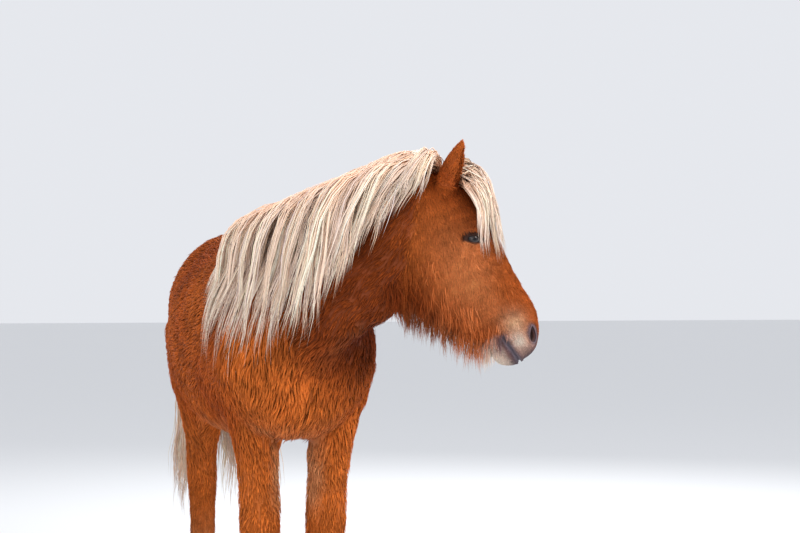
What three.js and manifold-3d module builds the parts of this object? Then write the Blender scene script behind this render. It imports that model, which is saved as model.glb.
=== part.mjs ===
// An icelandic horse at life size, standing square with its head turned to its left.
// Millimetres. X runs forward along the trunk, Y to the horse's left and Z up, with the floor at Z = 0.
import Module from 'manifold-3d';
import * as THREE from 'three';
import { mergeVertices } from 'three/addons/utils/BufferGeometryUtils.js';

const wasm = await Module();
wasm.setup();

// Driving sizes
const SEAM = 0.3;
const WITHERS = { x: 345, z: 1392 };
const HEAD_YAW = 75;
const HEAD_DROP = 57;
const POLL = new THREE.Vector3(889, 323, 1530);
const EYE = { along: 258, rise: -20, side: 104, tilt: 43, radius: 20, bulge: 3 };
const LIDS = { half: 19, open: 11, depth: 16, margin: 4, thick: 5 };
const EAR = { along: 104, rise: -17, side: 66, length: 154, lean: 50, splay: 12, turn: 20 };
const NOSTRIL = { along: 572, rise: -19, side: 60, tilt: -25 };
const NOSTRIL_RIM = { half: 26, open: 9, depth: 20, margin: 3, thick: 4 };
const MOUTH = { corner: 520, rise: -101, gap: 4, depth: 9, reach: 200 };
const FORELEG_LEAN = 15;
const CORONET = { toe: 84, heel: 50 };
const HAIR_SEED = 4906;

// How finely each form is faceted: rings along it and sides round it
const FACETS = {
  trunk: [20, 22],
  neck: [12, 20],
  head: [22, 20],
  lips: [6, 12],
  foreleg: [15, 12],
  hindleg: [16, 12],
  hoof: [2, 20],
  tail: [10, 12],
  ear: [8, 12],
  earCup: [6, 10],
  eye: [12, 8],
  slit: [10, 5],
  rim: [4, 12],
};

const COLOURS = { coat: 0x9c4a20, mane: 0xe3c9ab, eye: 0x15100d, hoof: 0x55483c };

const UP = new THREE.Vector3(0, 0, 1);
const vec = (x, y, z) => new THREE.Vector3(x, y, z);
const radians = THREE.MathUtils.degToRad;
const lerp = THREE.MathUtils.lerp;

// A small repeatable source of numbers from 0 to 1
function seededRandom(seed) {
  let state = seed;
  return () => {
    state = (state * 1664525 + 1013904223) % 4294967296;
    return state / 4294967296;
  };
}

// The level direction to the left of a heading, in degrees round Z
function leftOf(yaw) {
  return vec(-Math.sin(radians(yaw)), Math.cos(radians(yaw)), 0);
}

// The head's own axes: along runs from poll to muzzle, rise to the face, side to the horse's left
const ahead = vec(Math.cos(radians(HEAD_YAW)), Math.sin(radians(HEAD_YAW)), 0);
const headAlong = ahead.clone().multiplyScalar(Math.cos(radians(HEAD_DROP)));
headAlong.addScaledVector(UP, -Math.sin(radians(HEAD_DROP)));
const headRise = ahead.clone().multiplyScalar(Math.sin(radians(HEAD_DROP)));
headRise.addScaledVector(UP, Math.cos(radians(HEAD_DROP)));
const headSide = leftOf(HEAD_YAW);

function onHead(along, rise, side) {
  const point = POLL.clone().addScaledVector(headAlong, along);
  return point.addScaledVector(headRise, rise).addScaledVector(headSide, side);
}

// Catmull-Rom value at a place counted in stations
function blend(values, place) {
  const last = values.length - 1;
  const first = Math.min(Math.floor(place), last - 1);
  const [a, b, c, d] = [-1, 0, 1, 2].map((step) => values[THREE.MathUtils.clamp(first + step, 0, last)]);
  const t = place - first;
  const bend = 2 * a - 5 * b + 4 * c - d + (3 * (b - c) + d - a) * t;
  return b + 0.5 * t * (c - a + t * bend);
}

// Muscles and bony places: each pushes the surface near it out, or in where it is a hollow
const SWELLS = [
  { at: vec(565, 222, 1000), reach: 120, push: 20 },
  { at: vec(395, 215, 880), reach: 90, push: 12 },
  { at: vec(-520, 235, 1150), reach: 130, push: 14 },
  { at: vec(-345, 225, 850), reach: 90, push: 12 },
  { at: vec(-400, 235, 1290), reach: 60, push: 12 },
  { at: vec(700, 85, 985), reach: 70, push: 16 },
];
const HEAD_SWELLS = [
  { at: [300, -180, 90], reach: 80, push: 12 },
  { at: [222, 8, 96], reach: 38, push: 16 },
  { at: [180, -5, 96], reach: 30, push: -9 },
  { at: [370, -70, 80], reach: 40, push: 6 },
  { at: [566, -30, 55], reach: 30, push: 9 },
  { at: [592, -78, 20], reach: 26, push: 6 },
  { at: [578, -132, 18], reach: 26, push: 6 },
];

const HANDS = [1, -1];
const swells = HANDS.flatMap((hand) => [
  ...SWELLS.map(({ at, ...size }) => ({ at: vec(at.x, at.y * hand, at.z), ...size })),
  ...HEAD_SWELLS.map(({ at: [along, rise, side], ...size }) => ({
    at: onHead(along, rise, side * hand),
    ...size,
  })),
]);

// How square the sections are: 2 is an ellipse
const SECTION_POWER = 2.25;

// A fleshy form between two outlines. Each station has a top and a bottom point, the half width
// across them, the heading that width is square to, where the widest place lies between bottom and
// top, and how far the section narrows at top and bottom.
class Form {
  constructor(stations, grow = 0) {
    this.count = stations.length;
    const track = (read) => stations.map(read);
    this.top = ['x', 'y', 'z'].map((axis) => track((station) => station.top[axis]));
    this.bottom = ['x', 'y', 'z'].map((axis) => track((station) => station.bottom[axis]));
    this.half = track((station) => station.half);
    this.yaw = track((station) => station.yaw ?? 0);
    this.waist = track((station) => station.waist ?? 0.5);
    this.narrowTop = track((station) => station.narrowTop ?? 0);
    this.narrowBottom = track((station) => station.narrowBottom ?? 0);
    this.grow = grow;
  }

  // The surface point at a station place and an angle from the left side round to the top
  point(place, angle, reach = 1) {
    const top = vec(...this.top.map((values) => blend(values, place)));
    const bottom = vec(...this.bottom.map((values) => blend(values, place)));
    const rise = top.clone().sub(bottom);
    const depth = rise.length() || 1;
    rise.divideScalar(depth);
    const waist = blend(this.waist, place);
    const centre = bottom.clone().lerp(top, waist);
    const across = Math.cos(angle);
    const height = Math.sin(angle);
    const squareness = 2 / SECTION_POWER;
    const narrow = height > 0 ? blend(this.narrowTop, place) : blend(this.narrowBottom, place);
    const half = (blend(this.half, place) + this.grow) * (1 - narrow * height * height);
    const tall = depth * (height > 0 ? 1 - waist : waist) + this.grow;
    const offset = leftOf(blend(this.yaw, place));
    offset.multiplyScalar(Math.sign(across) * half * Math.abs(across) ** squareness * reach);
    offset.addScaledVector(rise, Math.sign(height) * tall * Math.abs(height) ** squareness * reach);
    const point = centre.add(offset);
    if (reach > 0) {
      const outward = offset.normalize();
      for (const { at, reach: radius, push } of swells) {
        point.addScaledVector(outward, push * Math.exp(-point.distanceToSquared(at) / (radius * radius)));
      }
    }
    return point;
  }

  // A capped tube whose rings are the sections, evenly spread over the stations
  solid([rings, sides]) {
    const tube = new THREE.CylinderGeometry(1, 1, 1, sides, rings);
    return reshaped(tube, ({ x, y, z }) => {
      const place = (y + 0.5) * (this.count - 1);
      return this.point(place, Math.atan2(x, z), Math.hypot(x, z) > 0.5 ? 1 : 0);
    });
  }
}

// A closed solid from drawn geometry, with points closer than a gap made one
const SAME_POINT = 1e-3;
function solid(geometry, gap = SAME_POINT) {
  const bare = geometry.clone();
  bare.deleteAttribute('normal');
  bare.deleteAttribute('uv');
  const merged = mergeVertices(bare, gap);
  const vertProperties = new Float32Array(merged.getAttribute('position').array);
  const triVerts = new Uint32Array(merged.getIndex().array);
  return new wasm.Manifold(new wasm.Mesh({ numProp: 3, vertProperties, triVerts }));
}

// The solid of a geometry once each of its points has been moved
function reshaped(geometry, move) {
  const places = geometry.getAttribute('position');
  const point = vec(0, 0, 0);
  for (let index = 0; index < places.count; index += 1) {
    point.fromBufferAttribute(places, index);
    const moved = move(point);
    places.setXYZ(index, moved.x, moved.y, moved.z);
  }
  return solid(geometry);
}

function largestShell(body) {
  const pieces = body.decompose();
  return pieces.reduce((best, piece) => (piece.volume() > best.volume() ? piece : best));
}

function surface(body) {
  const { vertProperties, triVerts, numProp } = body.getMesh();
  const geometry = new THREE.BufferGeometry();
  const places = [];
  for (let start = 0; start < vertProperties.length; start += numProp) {
    places.push(...vertProperties.slice(start, start + 3));
  }
  geometry.setAttribute('position', new THREE.Float32BufferAttribute(places, 3));
  geometry.setIndex([...triVerts]);
  geometry.computeVertexNormals();
  return geometry;
}

// The surface of a body without slivers: points that all but touch become one, and where two sheets
// still meet in a point or an edge each is drawn a little way into its own side
const SLIVERS = [0.01, 0.013];
const DRAWN_IN = 0.03;
function cleanSurface(body) {
  const whole = SLIVERS.reduce((rest, gap) => largestShell(solid(surface(rest), gap)), body);
  const geometry = surface(whole);
  const places = geometry.getAttribute('position');
  const normals = geometry.getAttribute('normal');
  const sharers = new Map();
  for (let index = 0; index < places.count; index += 1) {
    const key = [places.getX(index), places.getY(index), places.getZ(index)].join();
    sharers.set(key, [...(sharers.get(key) ?? []), index]);
  }
  const point = vec(0, 0, 0);
  const normal = vec(0, 0, 0);
  for (const index of [...sharers.values()].filter((group) => group.length > 1).flat()) {
    normal.fromBufferAttribute(normals, index);
    point.fromBufferAttribute(places, index).addScaledVector(normal, -DRAWN_IN);
    places.setXYZ(index, point.x, point.y, point.z);
  }
  return geometry;
}

function fuse(bodies) {
  return bodies.reduce((whole, body) => whole.add(body));
}

// A box of the given size whose local axes are the given ones
function block(centre, size, axes = [vec(1, 0, 0), vec(0, 1, 0), UP]) {
  const box = new THREE.BoxGeometry(size.x, size.y, size.z);
  const matrix = new THREE.Matrix4().makeBasis(...axes).setPosition(centre);
  return solid(box.applyMatrix4(matrix));
}

// Everything on the side of a plane that its normal points to, as far as it matters here
const VAST = 4000;
function beyond(point, normal) {
  const rise = normal.clone().normalize();
  const left = Math.abs(rise.y) > 0.9 ? vec(1, 0, 0) : vec(0, 1, 0);
  left.addScaledVector(rise, -left.dot(rise)).normalize();
  const axes = [left.clone().cross(rise), left, rise];
  return block(point.clone().addScaledVector(rise, VAST / 2), vec(VAST, VAST, VAST), axes);
}

// Trunk: distance forward, top, bottom, half width, widest height, narrowing at the top
const TRUNK = [
  [-738, 1180, 1060, 60, 1120, 0],
  [-712, 1272, 985, 150, 1100, 0],
  [-650, 1345, 900, 205, 1090, 0.05],
  [-560, 1376, 845, 238, 1080, 0.08],
  [-450, 1382, 785, 260, 1060, 0.08],
  [-320, 1357, 728, 282, 1020, 0.05],
  [-165, 1334, 694, 300, 985, 0.04],
  [0, 1326, 682, 304, 970, 0.06],
  [170, 1345, 688, 290, 980, 0.14],
  [WITHERS.x - 10, WITHERS.z, 700, 266, 1000, 0.28],
  [450, 1365, 706, 252, 1000, 0.26],
  [570, 1280, 728, 236, 985, 0.12],
  [668, 1170, 790, 192, 970, 0],
  [724, 1080, 880, 112, 975, 0],
];

function trunkForm() {
  return new Form(
    TRUNK.map(([x, top, bottom, half, widest, narrowTop]) => ({
      top: vec(x, 0, top),
      bottom: vec(x, 0, bottom),
      half,
      waist: (widest - bottom) / (top - bottom),
      narrowTop,
    })),
  );
}

// Neck: crest point, throat side point, half width, heading, narrowing at the crest and throat
const NECK = [
  [vec(250, 0, 1320), vec(560, 0, 830), 170, 0, 0.5, 0.2],
  [vec(WITHERS.x, 0, WITHERS.z - 4), vec(722, 8, 905), 205, 6, 0.55, 0.2],
  [vec(455, 42, 1414), vec(786, 55, 975), 185, 16, 0.55, 0.25],
  [vec(595, 128, 1450), vec(838, 120, 1024), 155, 30, 0.5, 0.3],
  [vec(735, 222, 1503), vec(868, 192, 1064), 130, 47, 0.4, 0.35],
  [vec(838, 288, 1533), vec(880, 245, 1105), 118, 62, 0.22, 0.35],
  [vec(893, 345, 1508), vec(900, 325, 1150), 98, 74, 0.2, 0.3],
];

function neckForm() {
  return new Form(
    NECK.map(([top, bottom, half, yaw, narrowTop, narrowBottom]) => ({
      top,
      bottom,
      half,
      yaw,
      waist: 0.45,
      narrowTop,
      narrowBottom,
    })),
  );
}

// Head: distance from the poll, face line, jaw line, half width, widest place, narrowings
const HEAD = [
  [14, -45, -170, 34, 0.6, 0.1, 0.3],
  [52, 10, -236, 66, 0.62, 0.1, 0.3],
  [100, 40, -268, 90, 0.66, 0.15, 0.3],
  [155, 54, -283, 100, 0.7, 0.18, 0.3],
  [210, 57, -288, 106, 0.72, 0.22, 0.3],
  [265, 49, -284, 104, 0.66, 0.3, 0.28],
  [320, 42, -272, 98, 0.56, 0.42, 0.3],
  [380, 34, -246, 84, 0.56, 0.45, 0.35],
  [440, 29, -212, 68, 0.6, 0.4, 0.3],
  [490, 29, -182, 60, 0.6, 0.3, 0.2],
  [530, 22, -164, 60, 0.6, 0.25, 0.15],
  [565, 6, -158, 58, 0.6, 0.2, 0.15],
  [596, -20, -146, 48, 0.6, 0.1, 0.1],
  [614, -48, -128, 30, 0.6, 0, 0],
];

function headStations() {
  return HEAD.map(([along, face, jaw, half, waist, narrowTop, narrowBottom]) => ({
    top: onHead(along, face, 0),
    bottom: onHead(along, jaw, 0),
    half,
    yaw: HEAD_YAW,
    waist,
    narrowTop,
    narrowBottom,
  }));
}

// Legs: height, front, back, and the inner and outer distance from the middle of the trunk
const FORELEG = [
  [1080, 560, 420, 110, 205],
  [960, 604, 380, 82, 236],
  [860, 588, 345, 62, 232],
  [790, 560, 343, 46, 212],
  [700, 542, 364, 40, 190],
  [600, 523, 384, 42, 172],
  [500, 509, 396, 38, 168],
  [420, 507, 393, 40, 162],
  [368, 500, 398, 49, 153],
  [310, 486, 404, 57, 146],
  [240, 484, 402, 59, 144],
  [195, 496, 388, 52, 151],
  [150, 507, 398, 57, 147],
  [105, 524, 410, 53, 151],
  [50, 548, 428, 48, 156],
];
const HINDLEG = [
  [1150, -340, -680, 60, 205],
  [1040, -300, -726, 30, 260],
  [940, -298, -734, 26, 262],
  [850, -308, -718, 28, 248],
  [770, -350, -702, 38, 225],
  [690, -424, -698, 50, 200],
  [610, -508, -706, 56, 180],
  [545, -566, -728, 58, 172],
  [480, -590, -722, 56, 168],
  [420, -603, -706, 58, 162],
  [330, -608, -698, 61, 158],
  [250, -607, -698, 61, 158],
  [200, -592, -706, 54, 164],
  [150, -578, -692, 58, 160],
  [105, -560, -680, 55, 163],
  [50, -534, -664, 50, 168],
];

function legForm(rows, hand, lean) {
  return new Form(
    rows.map(([height, front, back, inner, outer]) => {
      const middle = (hand * (inner + outer)) / 2 + lean;
      return {
        top: vec(front, middle, height),
        bottom: vec(back, middle, height),
        half: (outer - inner) / 2,
      };
    }),
  );
}

// Hoof: height, front, back and half width, from just above the coronet to the sole
const FORE_HOOF = [
  [96, 524, 430, 47],
  [60, 541, 427, 52],
  [0, 566, 422, 61],
];
const HIND_HOOF = [
  [96, -556, -654, 45],
  [60, -540, -658, 50],
  [0, -516, -664, 57],
];

function hoofSolid(rows, middle) {
  const form = new Form(
    rows.map(([height, front, back, half]) => ({
      top: vec(front, middle, height),
      bottom: vec(back, middle, height),
      half,
    })),
  );
  return form.solid(FACETS.hoof);
}

// Tail: front point, back point and half width down the dock and the core of its hair
const TAIL = [
  [vec(-676, 0, 1262), vec(-676, 0, 1322), 26],
  [vec(-730, 0, 1254), vec(-738, 0, 1318), 32],
  [vec(-775, 0, 1220), vec(-806, 0, 1280), 36],
  [vec(-794, 0, 1150), vec(-860, 0, 1168), 48],
  [vec(-796, 0, 1040), vec(-874, 0, 1044), 60],
  [vec(-798, 0, 900), vec(-876, 0, 900), 62],
  [vec(-806, 0, 800), vec(-860, 0, 800), 44],
  [vec(-820, 0, 740), vec(-845, 0, 740), 16],
];

function tailForm(grow) {
  const stations = TAIL.map(([front, back, half]) => ({ top: front, bottom: back, half }));
  return new Form(stations, grow);
}

// Ear: distance up from its base, half width and half depth, from the tip down to the root
const EAR_ROWS = [
  [1, 0.02, 0.02],
  [0.88, 0.08, 0.1],
  [0.7, 0.13, 0.18],
  [0.48, 0.18, 0.235],
  [0.24, 0.2, 0.25],
  [0, 0.19, 0.235],
  [-0.25, 0.15, 0.17],
];

// The whole ear, and the cup inside it, which is smaller and pushed out through the open side
const WHOLE_EAR = { share: 1, tall: 1, lift: 0, push: 0, mouth: 1 };
const EAR_CUP = { share: 0.76, tall: 0.9, lift: 0.03, push: 0.45, mouth: 1.3 };

function earForm(hand, { share, tall, lift, push, mouth }, grow = 0) {
  const base = onHead(EAR.along, EAR.rise, EAR.side * hand);
  const axis = headRise.clone().multiplyScalar(Math.sin(radians(EAR.lean)));
  axis.addScaledVector(headAlong, -Math.cos(radians(EAR.lean)));
  axis.addScaledVector(headSide, hand * Math.sin(radians(EAR.splay))).normalize();
  const yaw = HEAD_YAW + hand * EAR.turn;
  const open = vec(Math.cos(radians(yaw)), Math.sin(radians(yaw)), 0);
  return new Form(
    EAR_ROWS.map(([height, half, depth]) => {
      const middle = base.clone().addScaledVector(axis, (height * tall + lift) * EAR.length);
      middle.addScaledVector(open, depth * push * EAR.length);
      const reach = depth * EAR.length * share;
      return {
        top: middle.clone().addScaledVector(open, reach * mouth),
        bottom: middle.clone().addScaledVector(open, -reach),
        half: half * EAR.length * share,
        yaw,
      };
    }),
    grow,
  );
}

// Every triangle of a body, to ask how far a point lies outside it
class Skin {
  constructor(body) {
    const { vertProperties, triVerts } = body.getMesh();
    const corner = (index) => vec(...vertProperties.slice(index * 3, index * 3 + 3));
    this.faces = [];
    for (let start = 0; start < triVerts.length; start += 3) {
      const face = new THREE.Triangle(...[0, 1, 2].map((step) => corner(triVerts[start + step])));
      const centre = face.getMidpoint(vec(0, 0, 0));
      const reach = Math.max(...[face.a, face.b, face.c].map((point) => point.distanceTo(centre)));
      this.faces.push({ face, centre, reach, normal: face.getNormal(vec(0, 0, 0)) });
    }
  }

  // Height above the nearest face, below zero inside, and the way out
  nearest(point) {
    let best = { gap: Infinity, foot: null, normal: null };
    const foot = vec(0, 0, 0);
    for (const { face, centre, reach, normal } of this.faces) {
      if (point.distanceTo(centre) - reach < best.gap) {
        face.closestPointToPoint(point, foot);
        const gap = foot.distanceTo(point);
        if (gap < best.gap) {
          best = { gap, foot: foot.clone(), normal };
        }
      }
    }
    const out = point.clone().sub(best.foot);
    const side = Math.sign(out.dot(best.normal)) || 1;
    const way = best.gap > 1 ? out.multiplyScalar(side / best.gap) : best.normal.clone();
    return { height: side * best.gap, way };
  }
}

// The line of a lock: it starts under the skin at its root, leaves along the first heading, bends to
// the fall in two short steps and then longer ones, and is lifted to its own height above the skin
// wherever the end or the middle of a step would lie lower
const SUNK = 20;
const EMERGED = 0.35;
const BEND_STEPS = 2;
const SHORTENED = 0.45;
const LIFTS = [1, 0.5, 1, 0.5];
function lockLine(around, { root, heading, fall, length, lie, steps, stiff }) {
  const { way } = around.nearest(root);
  const points = [root.clone().addScaledVector(way, -SUNK), root.clone().addScaledVector(way, lie * EMERGED)];
  const course = heading.clone().normalize();
  const longSteps = steps - 1 - BEND_STEPS;
  for (let step = 1; step < steps; step += 1) {
    const share = step > BEND_STEPS ? 1 + (BEND_STEPS * SHORTENED) / longSteps : 1 - SHORTENED;
    const previous = points[points.length - 1];
    const next = previous.clone().addScaledVector(course, (length * share) / (steps - 1));
    const rootShare = step > 1 ? 1 : EMERGED;
    for (const along of LIFTS) {
      const { height, way: out } = around.nearest(previous.clone().lerp(next, along));
      const wanted = lie * lerp(rootShare, 1, along);
      next.addScaledVector(out, Math.max(0, wanted - height) / along);
    }
    points.push(next);
    course.lerp(fall, 1 - stiff).normalize();
  }
  return points;
}

// How wide a lock is along its length, as a share: fullest a third of the way, drawn out to its tip
const FULLEST = 0.35;
const ROOT_SHARE = 0.5;
const TIP_SHARE = 0.06;
function lockShare(t) {
  if (t < FULLEST) {
    return lerp(ROOT_SHARE, 1, t / FULLEST);
  }
  return lerp(1, TIP_SHARE, ((t - FULLEST) / (1 - FULLEST)) ** 2);
}

// A flat lock with a diamond section
const LOCK_SIDES = 4;
const THINNEST = 0.25;
function lockSolid(around, line, width, thick) {
  const steps = line.length - 1;
  const frames = line.map((point, index) => {
    const course = line[Math.min(index + 1, steps)].clone().sub(line[Math.max(index - 1, 0)]).normalize();
    const out = around.nearest(line[Math.max(index, 1)]).way.clone();
    out.addScaledVector(course, -out.dot(course)).normalize();
    return { point, out, across: course.clone().cross(out) };
  });
  const tube = new THREE.CylinderGeometry(1, 1, 1, LOCK_SIDES, steps);
  return reshaped(tube, ({ x, y, z }) => {
    const index = Math.round((y + 0.5) * steps);
    const { point, out, across } = frames[index];
    const share = lockShare(index / steps);
    const moved = point.clone().addScaledVector(across, (x * width * share) / 2);
    return moved.addScaledVector(out, (z * thick * Math.max(share, THINNEST)) / 2);
  });
}

function withLocks(body, around, locks) {
  const grown = locks.map((lock) => lockSolid(around, lockLine(around, lock), lock.width, lock.thick));
  return largestShell(fuse([body, ...grown]));
}

// The whole animal without its ears, eyes, hooves, tail and hair
const legs = HANDS.flatMap((hand) => [
  legForm(FORELEG, hand, FORELEG_LEAN).solid(FACETS.foreleg),
  legForm(HINDLEG, hand, 0).solid(FACETS.hindleg),
]);
const flesh = largestShell(
  fuse([
    trunkForm().solid(FACETS.trunk),
    neckForm().solid(FACETS.neck),
    new Form(headStations()).solid(FACETS.head),
    ...legs,
  ]),
);
const skin = new Skin(flesh);

// Where the neck ends: behind the ears and jaw, and from the withers to the foot of the neck
const NAPE = { top: onHead(-8, 0, 0), bottom: onHead(302, -290, 0) };
const napeNormal = NAPE.bottom.clone().sub(NAPE.top).cross(headSide).normalize();
const NECK_FOOT = { top: vec(WITHERS.x - 20, 0, WITHERS.z), bottom: vec(765, 0, 985) };
const footNormal = NECK_FOOT.bottom.clone().sub(NECK_FOOT.top).cross(leftOf(0)).normalize();

function pastPlane(point, normal, side) {
  const onSeam = point.clone().addScaledVector(normal, (side * SEAM) / 2);
  return beyond(onSeam, normal.clone().multiplyScalar(side));
}

// The block of the body that goes with a leg: in front of its back, behind its front, and below a
// slope that rises from a low point near the middle of the trunk out to the flank
const SHOULDER = { back: 330, front: 612, inner: 45, low: 702, slope: 49 };
const THIGH = { back: -800, front: -306, inner: 20, low: 722, slope: 54 };
const LEG_REACH = 1400;
function legBlock({ back, front, inner, low, slope }, hand, grow) {
  const lean = radians(slope);
  const along = vec(0, hand * Math.cos(lean), Math.sin(lean));
  const out = vec(0, -hand * Math.sin(lean), Math.cos(lean));
  const size = vec(front - back + 2 * grow, LEG_REACH * 2, LEG_REACH + grow);
  const centre = vec((back + front) / 2, hand * inner, low).addScaledVector(out, (grow - LEG_REACH) / 2);
  const ownSide = beyond(vec(0, -hand * grow, 0), vec(0, hand, 0));
  return block(centre, size, [vec(hand, 0, 0), along, out]).intersect(ownSide);
}

// Places and stretches a unit geometry by three axes and the half sizes along them
function stretched(geometry, centre, axes, halves) {
  return reshaped(geometry, (point) => {
    const moved = centre.clone();
    point.toArray().forEach((share, index) => moved.addScaledVector(axes[index], share * halves[index]));
    return moved;
  });
}

// A place on the skin of the head, from where it lies seen from the side
function onFace({ along, rise, side }, hand) {
  const point = onHead(along, rise, side * hand);
  const { height, way } = skin.nearest(point);
  return { point: point.addScaledVector(way, -height), out: way };
}

// Axes of a slit that lies in the skin: along it, across it and out
function slitAxes(tilt, out) {
  const long = headAlong.clone().multiplyScalar(Math.cos(radians(tilt)));
  long.addScaledVector(headRise, Math.sin(radians(tilt)));
  long.addScaledVector(out, -long.dot(out)).normalize();
  return [long, out.clone().cross(long), out];
}

function eyeBall(hand, grow) {
  const { point, out } = onFace(EYE, hand);
  const radius = EYE.radius + grow;
  const centre = point.addScaledVector(out, EYE.bulge - EYE.radius);
  const ball = new THREE.SphereGeometry(1, ...FACETS.eye);
  return stretched(ball, centre, slitAxes(EYE.tilt, out), [radius, radius, radius]);
}

// A rim raised round a slit that is hollowed out of the skin
function slitInto(face, place, hand, { half, open, depth, margin, thick }) {
  const { point, out } = onFace(place, hand);
  const axes = slitAxes(place.tilt, out);
  const ring = new THREE.TorusGeometry(1, thick / (half + margin), ...FACETS.rim);
  const ball = new THREE.SphereGeometry(1, ...FACETS.slit);
  const rim = stretched(ring, point, axes, [half + margin, open + margin, half + margin]);
  return face.add(rim).subtract(stretched(ball, point, axes, [half, open, depth]));
}

// The lids, sockets and nostrils, and the line of the mouth between the lips
function carveFace(head) {
  let face = head;
  for (const hand of HANDS) {
    face = slitInto(face, EYE, hand, LIDS).subtract(eyeBall(hand, SEAM));
    face = slitInto(face, NOSTRIL, hand, NOSTRIL_RIM);
  }
  const slabSize = vec(MOUTH.reach, MOUTH.reach, MOUTH.gap);
  const slabCentre = onHead(MOUTH.corner + MOUTH.reach / 2, MOUTH.rise, 0);
  const slab = block(slabCentre, slabSize, [headAlong, headSide, headRise]);
  const behindLips = new Form(headStations().slice(-FACETS.lips[0]), -MOUTH.depth).solid(FACETS.lips);
  return face.subtract(slab.subtract(behindLips));
}

// Hooves meet the legs on a plane that falls from toe to heel
function coronetPlane(rows, middle) {
  const [, toe, heel] = rows[0];
  const fall = Math.atan2(CORONET.toe - CORONET.heel, toe - heel);
  return {
    point: vec((toe + heel) / 2, middle, (CORONET.toe + CORONET.heel) / 2),
    normal: vec(-Math.sin(fall), 0, Math.cos(fall)),
  };
}

const bareHead = flesh.intersect(pastPlane(NAPE.top, napeNormal, 1));
const restOfBody = flesh.intersect(pastPlane(NAPE.top, napeNormal, -1));
const bareNeck = restOfBody.intersect(pastPlane(NECK_FOOT.top, footNormal, 1));
const bareTrunk = restOfBody.intersect(pastPlane(NECK_FOOT.top, footNormal, -1));

const LIMBS = [
  { limb: 'foreleg', end: 'fore', cut: SHOULDER, rows: FORELEG, hoofRows: FORE_HOOF, lean: FORELEG_LEAN },
  { limb: 'hindleg', end: 'hind', cut: THIGH, rows: HINDLEG, hoofRows: HIND_HOOF, lean: 0 },
];
const sideOf = (hand) => (hand > 0 ? 'left' : 'right');
const parts = {};
let torso = bareTrunk;
let head = carveFace(bareHead);
for (const hand of HANDS) {
  const side = sideOf(hand);
  for (const { limb, end, cut, rows, hoofRows, lean } of LIMBS) {
    const [, , , inner, outer] = rows[rows.length - 1];
    const middle = (hand * (inner + outer)) / 2 + lean;
    const { point, normal } = coronetPlane(hoofRows, middle);
    const leg = torso.intersect(legBlock(cut, hand, -SEAM / 2)).intersect(pastPlane(point, normal, 1));
    parts[`${limb}_${side}`] = largestShell(leg);
    const hoof = hoofSolid(hoofRows, middle).intersect(pastPlane(point, normal, -1));
    parts[`hoof_${end}_${side}`] = largestShell(hoof);
    torso = torso.subtract(legBlock(cut, hand, SEAM / 2));
  }
  const ear = earForm(hand, WHOLE_EAR).solid(FACETS.ear);
  parts[`ear_${side}`] = largestShell(ear.subtract(earForm(hand, EAR_CUP).solid(FACETS.earCup)));
  parts[`eye_${side}`] = eyeBall(hand, 0);
  head = head.subtract(earForm(hand, WHOLE_EAR, SEAM).solid(FACETS.ear));
}
parts.torso = largestShell(torso.subtract(tailForm(SEAM).solid(FACETS.tail)));
parts.head = largestShell(head);
parts.neck = largestShell(bareNeck);
parts.tail = tailForm(0).solid(FACETS.tail);

// A number near 1, within a share either way
const random = seededRandom(HAIR_SEED);
const vary = (share) => 1 + share * (2 * random() - 1);
const DOWN = UP.clone().negate();
const numbers = (count) => [...Array(count).keys()];

// Mane: tiers of locks along the crest that fall to the right, long over the neck and shorter at both
// ends, each tier rooted behind the last and lying above it
const MANE_TIERS = [
  { count: 9, lean: 14, lie: 12, start: 0.25 },
  { count: 8, lean: -10, lie: 25, start: 0.75 },
  { count: 7, lean: -34, lie: 38, start: 0.25 },
];
const MANE = { width: 68, thick: 8, first: 1.1, last: 5.3, lift: 0.12, sweep: 0.02, moreSweep: 0.36 };
const MANE_HANG = { steps: 5, stiff: 0.3 };
const MANE_VARIED = { sweep: 0.3, length: 0.1, width: 0.1 };
const MANE_LENGTHS = [430, 620, 700, 640, 520, 330];
function maneLocks() {
  const crest = neckForm();
  return MANE_TIERS.flatMap(({ count, lean, lie, start }) =>
    numbers(count).map((index) => {
      const share = (index + start) / count;
      const place = lerp(MANE.first, MANE.last, share);
      const right = leftOf(blend(crest.yaw, place)).negate();
      const back = right.clone().cross(UP);
      const sweep = MANE.sweep + MANE.moreSweep * share ** 2;
      return {
        root: crest.point(place, Math.PI / 2 + radians(lean)),
        heading: right.clone().addScaledVector(UP, MANE.lift).addScaledVector(back, sweep),
        fall: DOWN.clone().addScaledVector(back, sweep * vary(MANE_VARIED.sweep)).normalize(),
        length: blend(MANE_LENGTHS, share * (MANE_LENGTHS.length - 1)) * vary(MANE_VARIED.length),
        lie,
        ...MANE_HANG,
        width: MANE.width * vary(MANE_VARIED.width),
        thick: MANE.thick,
      };
    }),
  );
}

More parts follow.
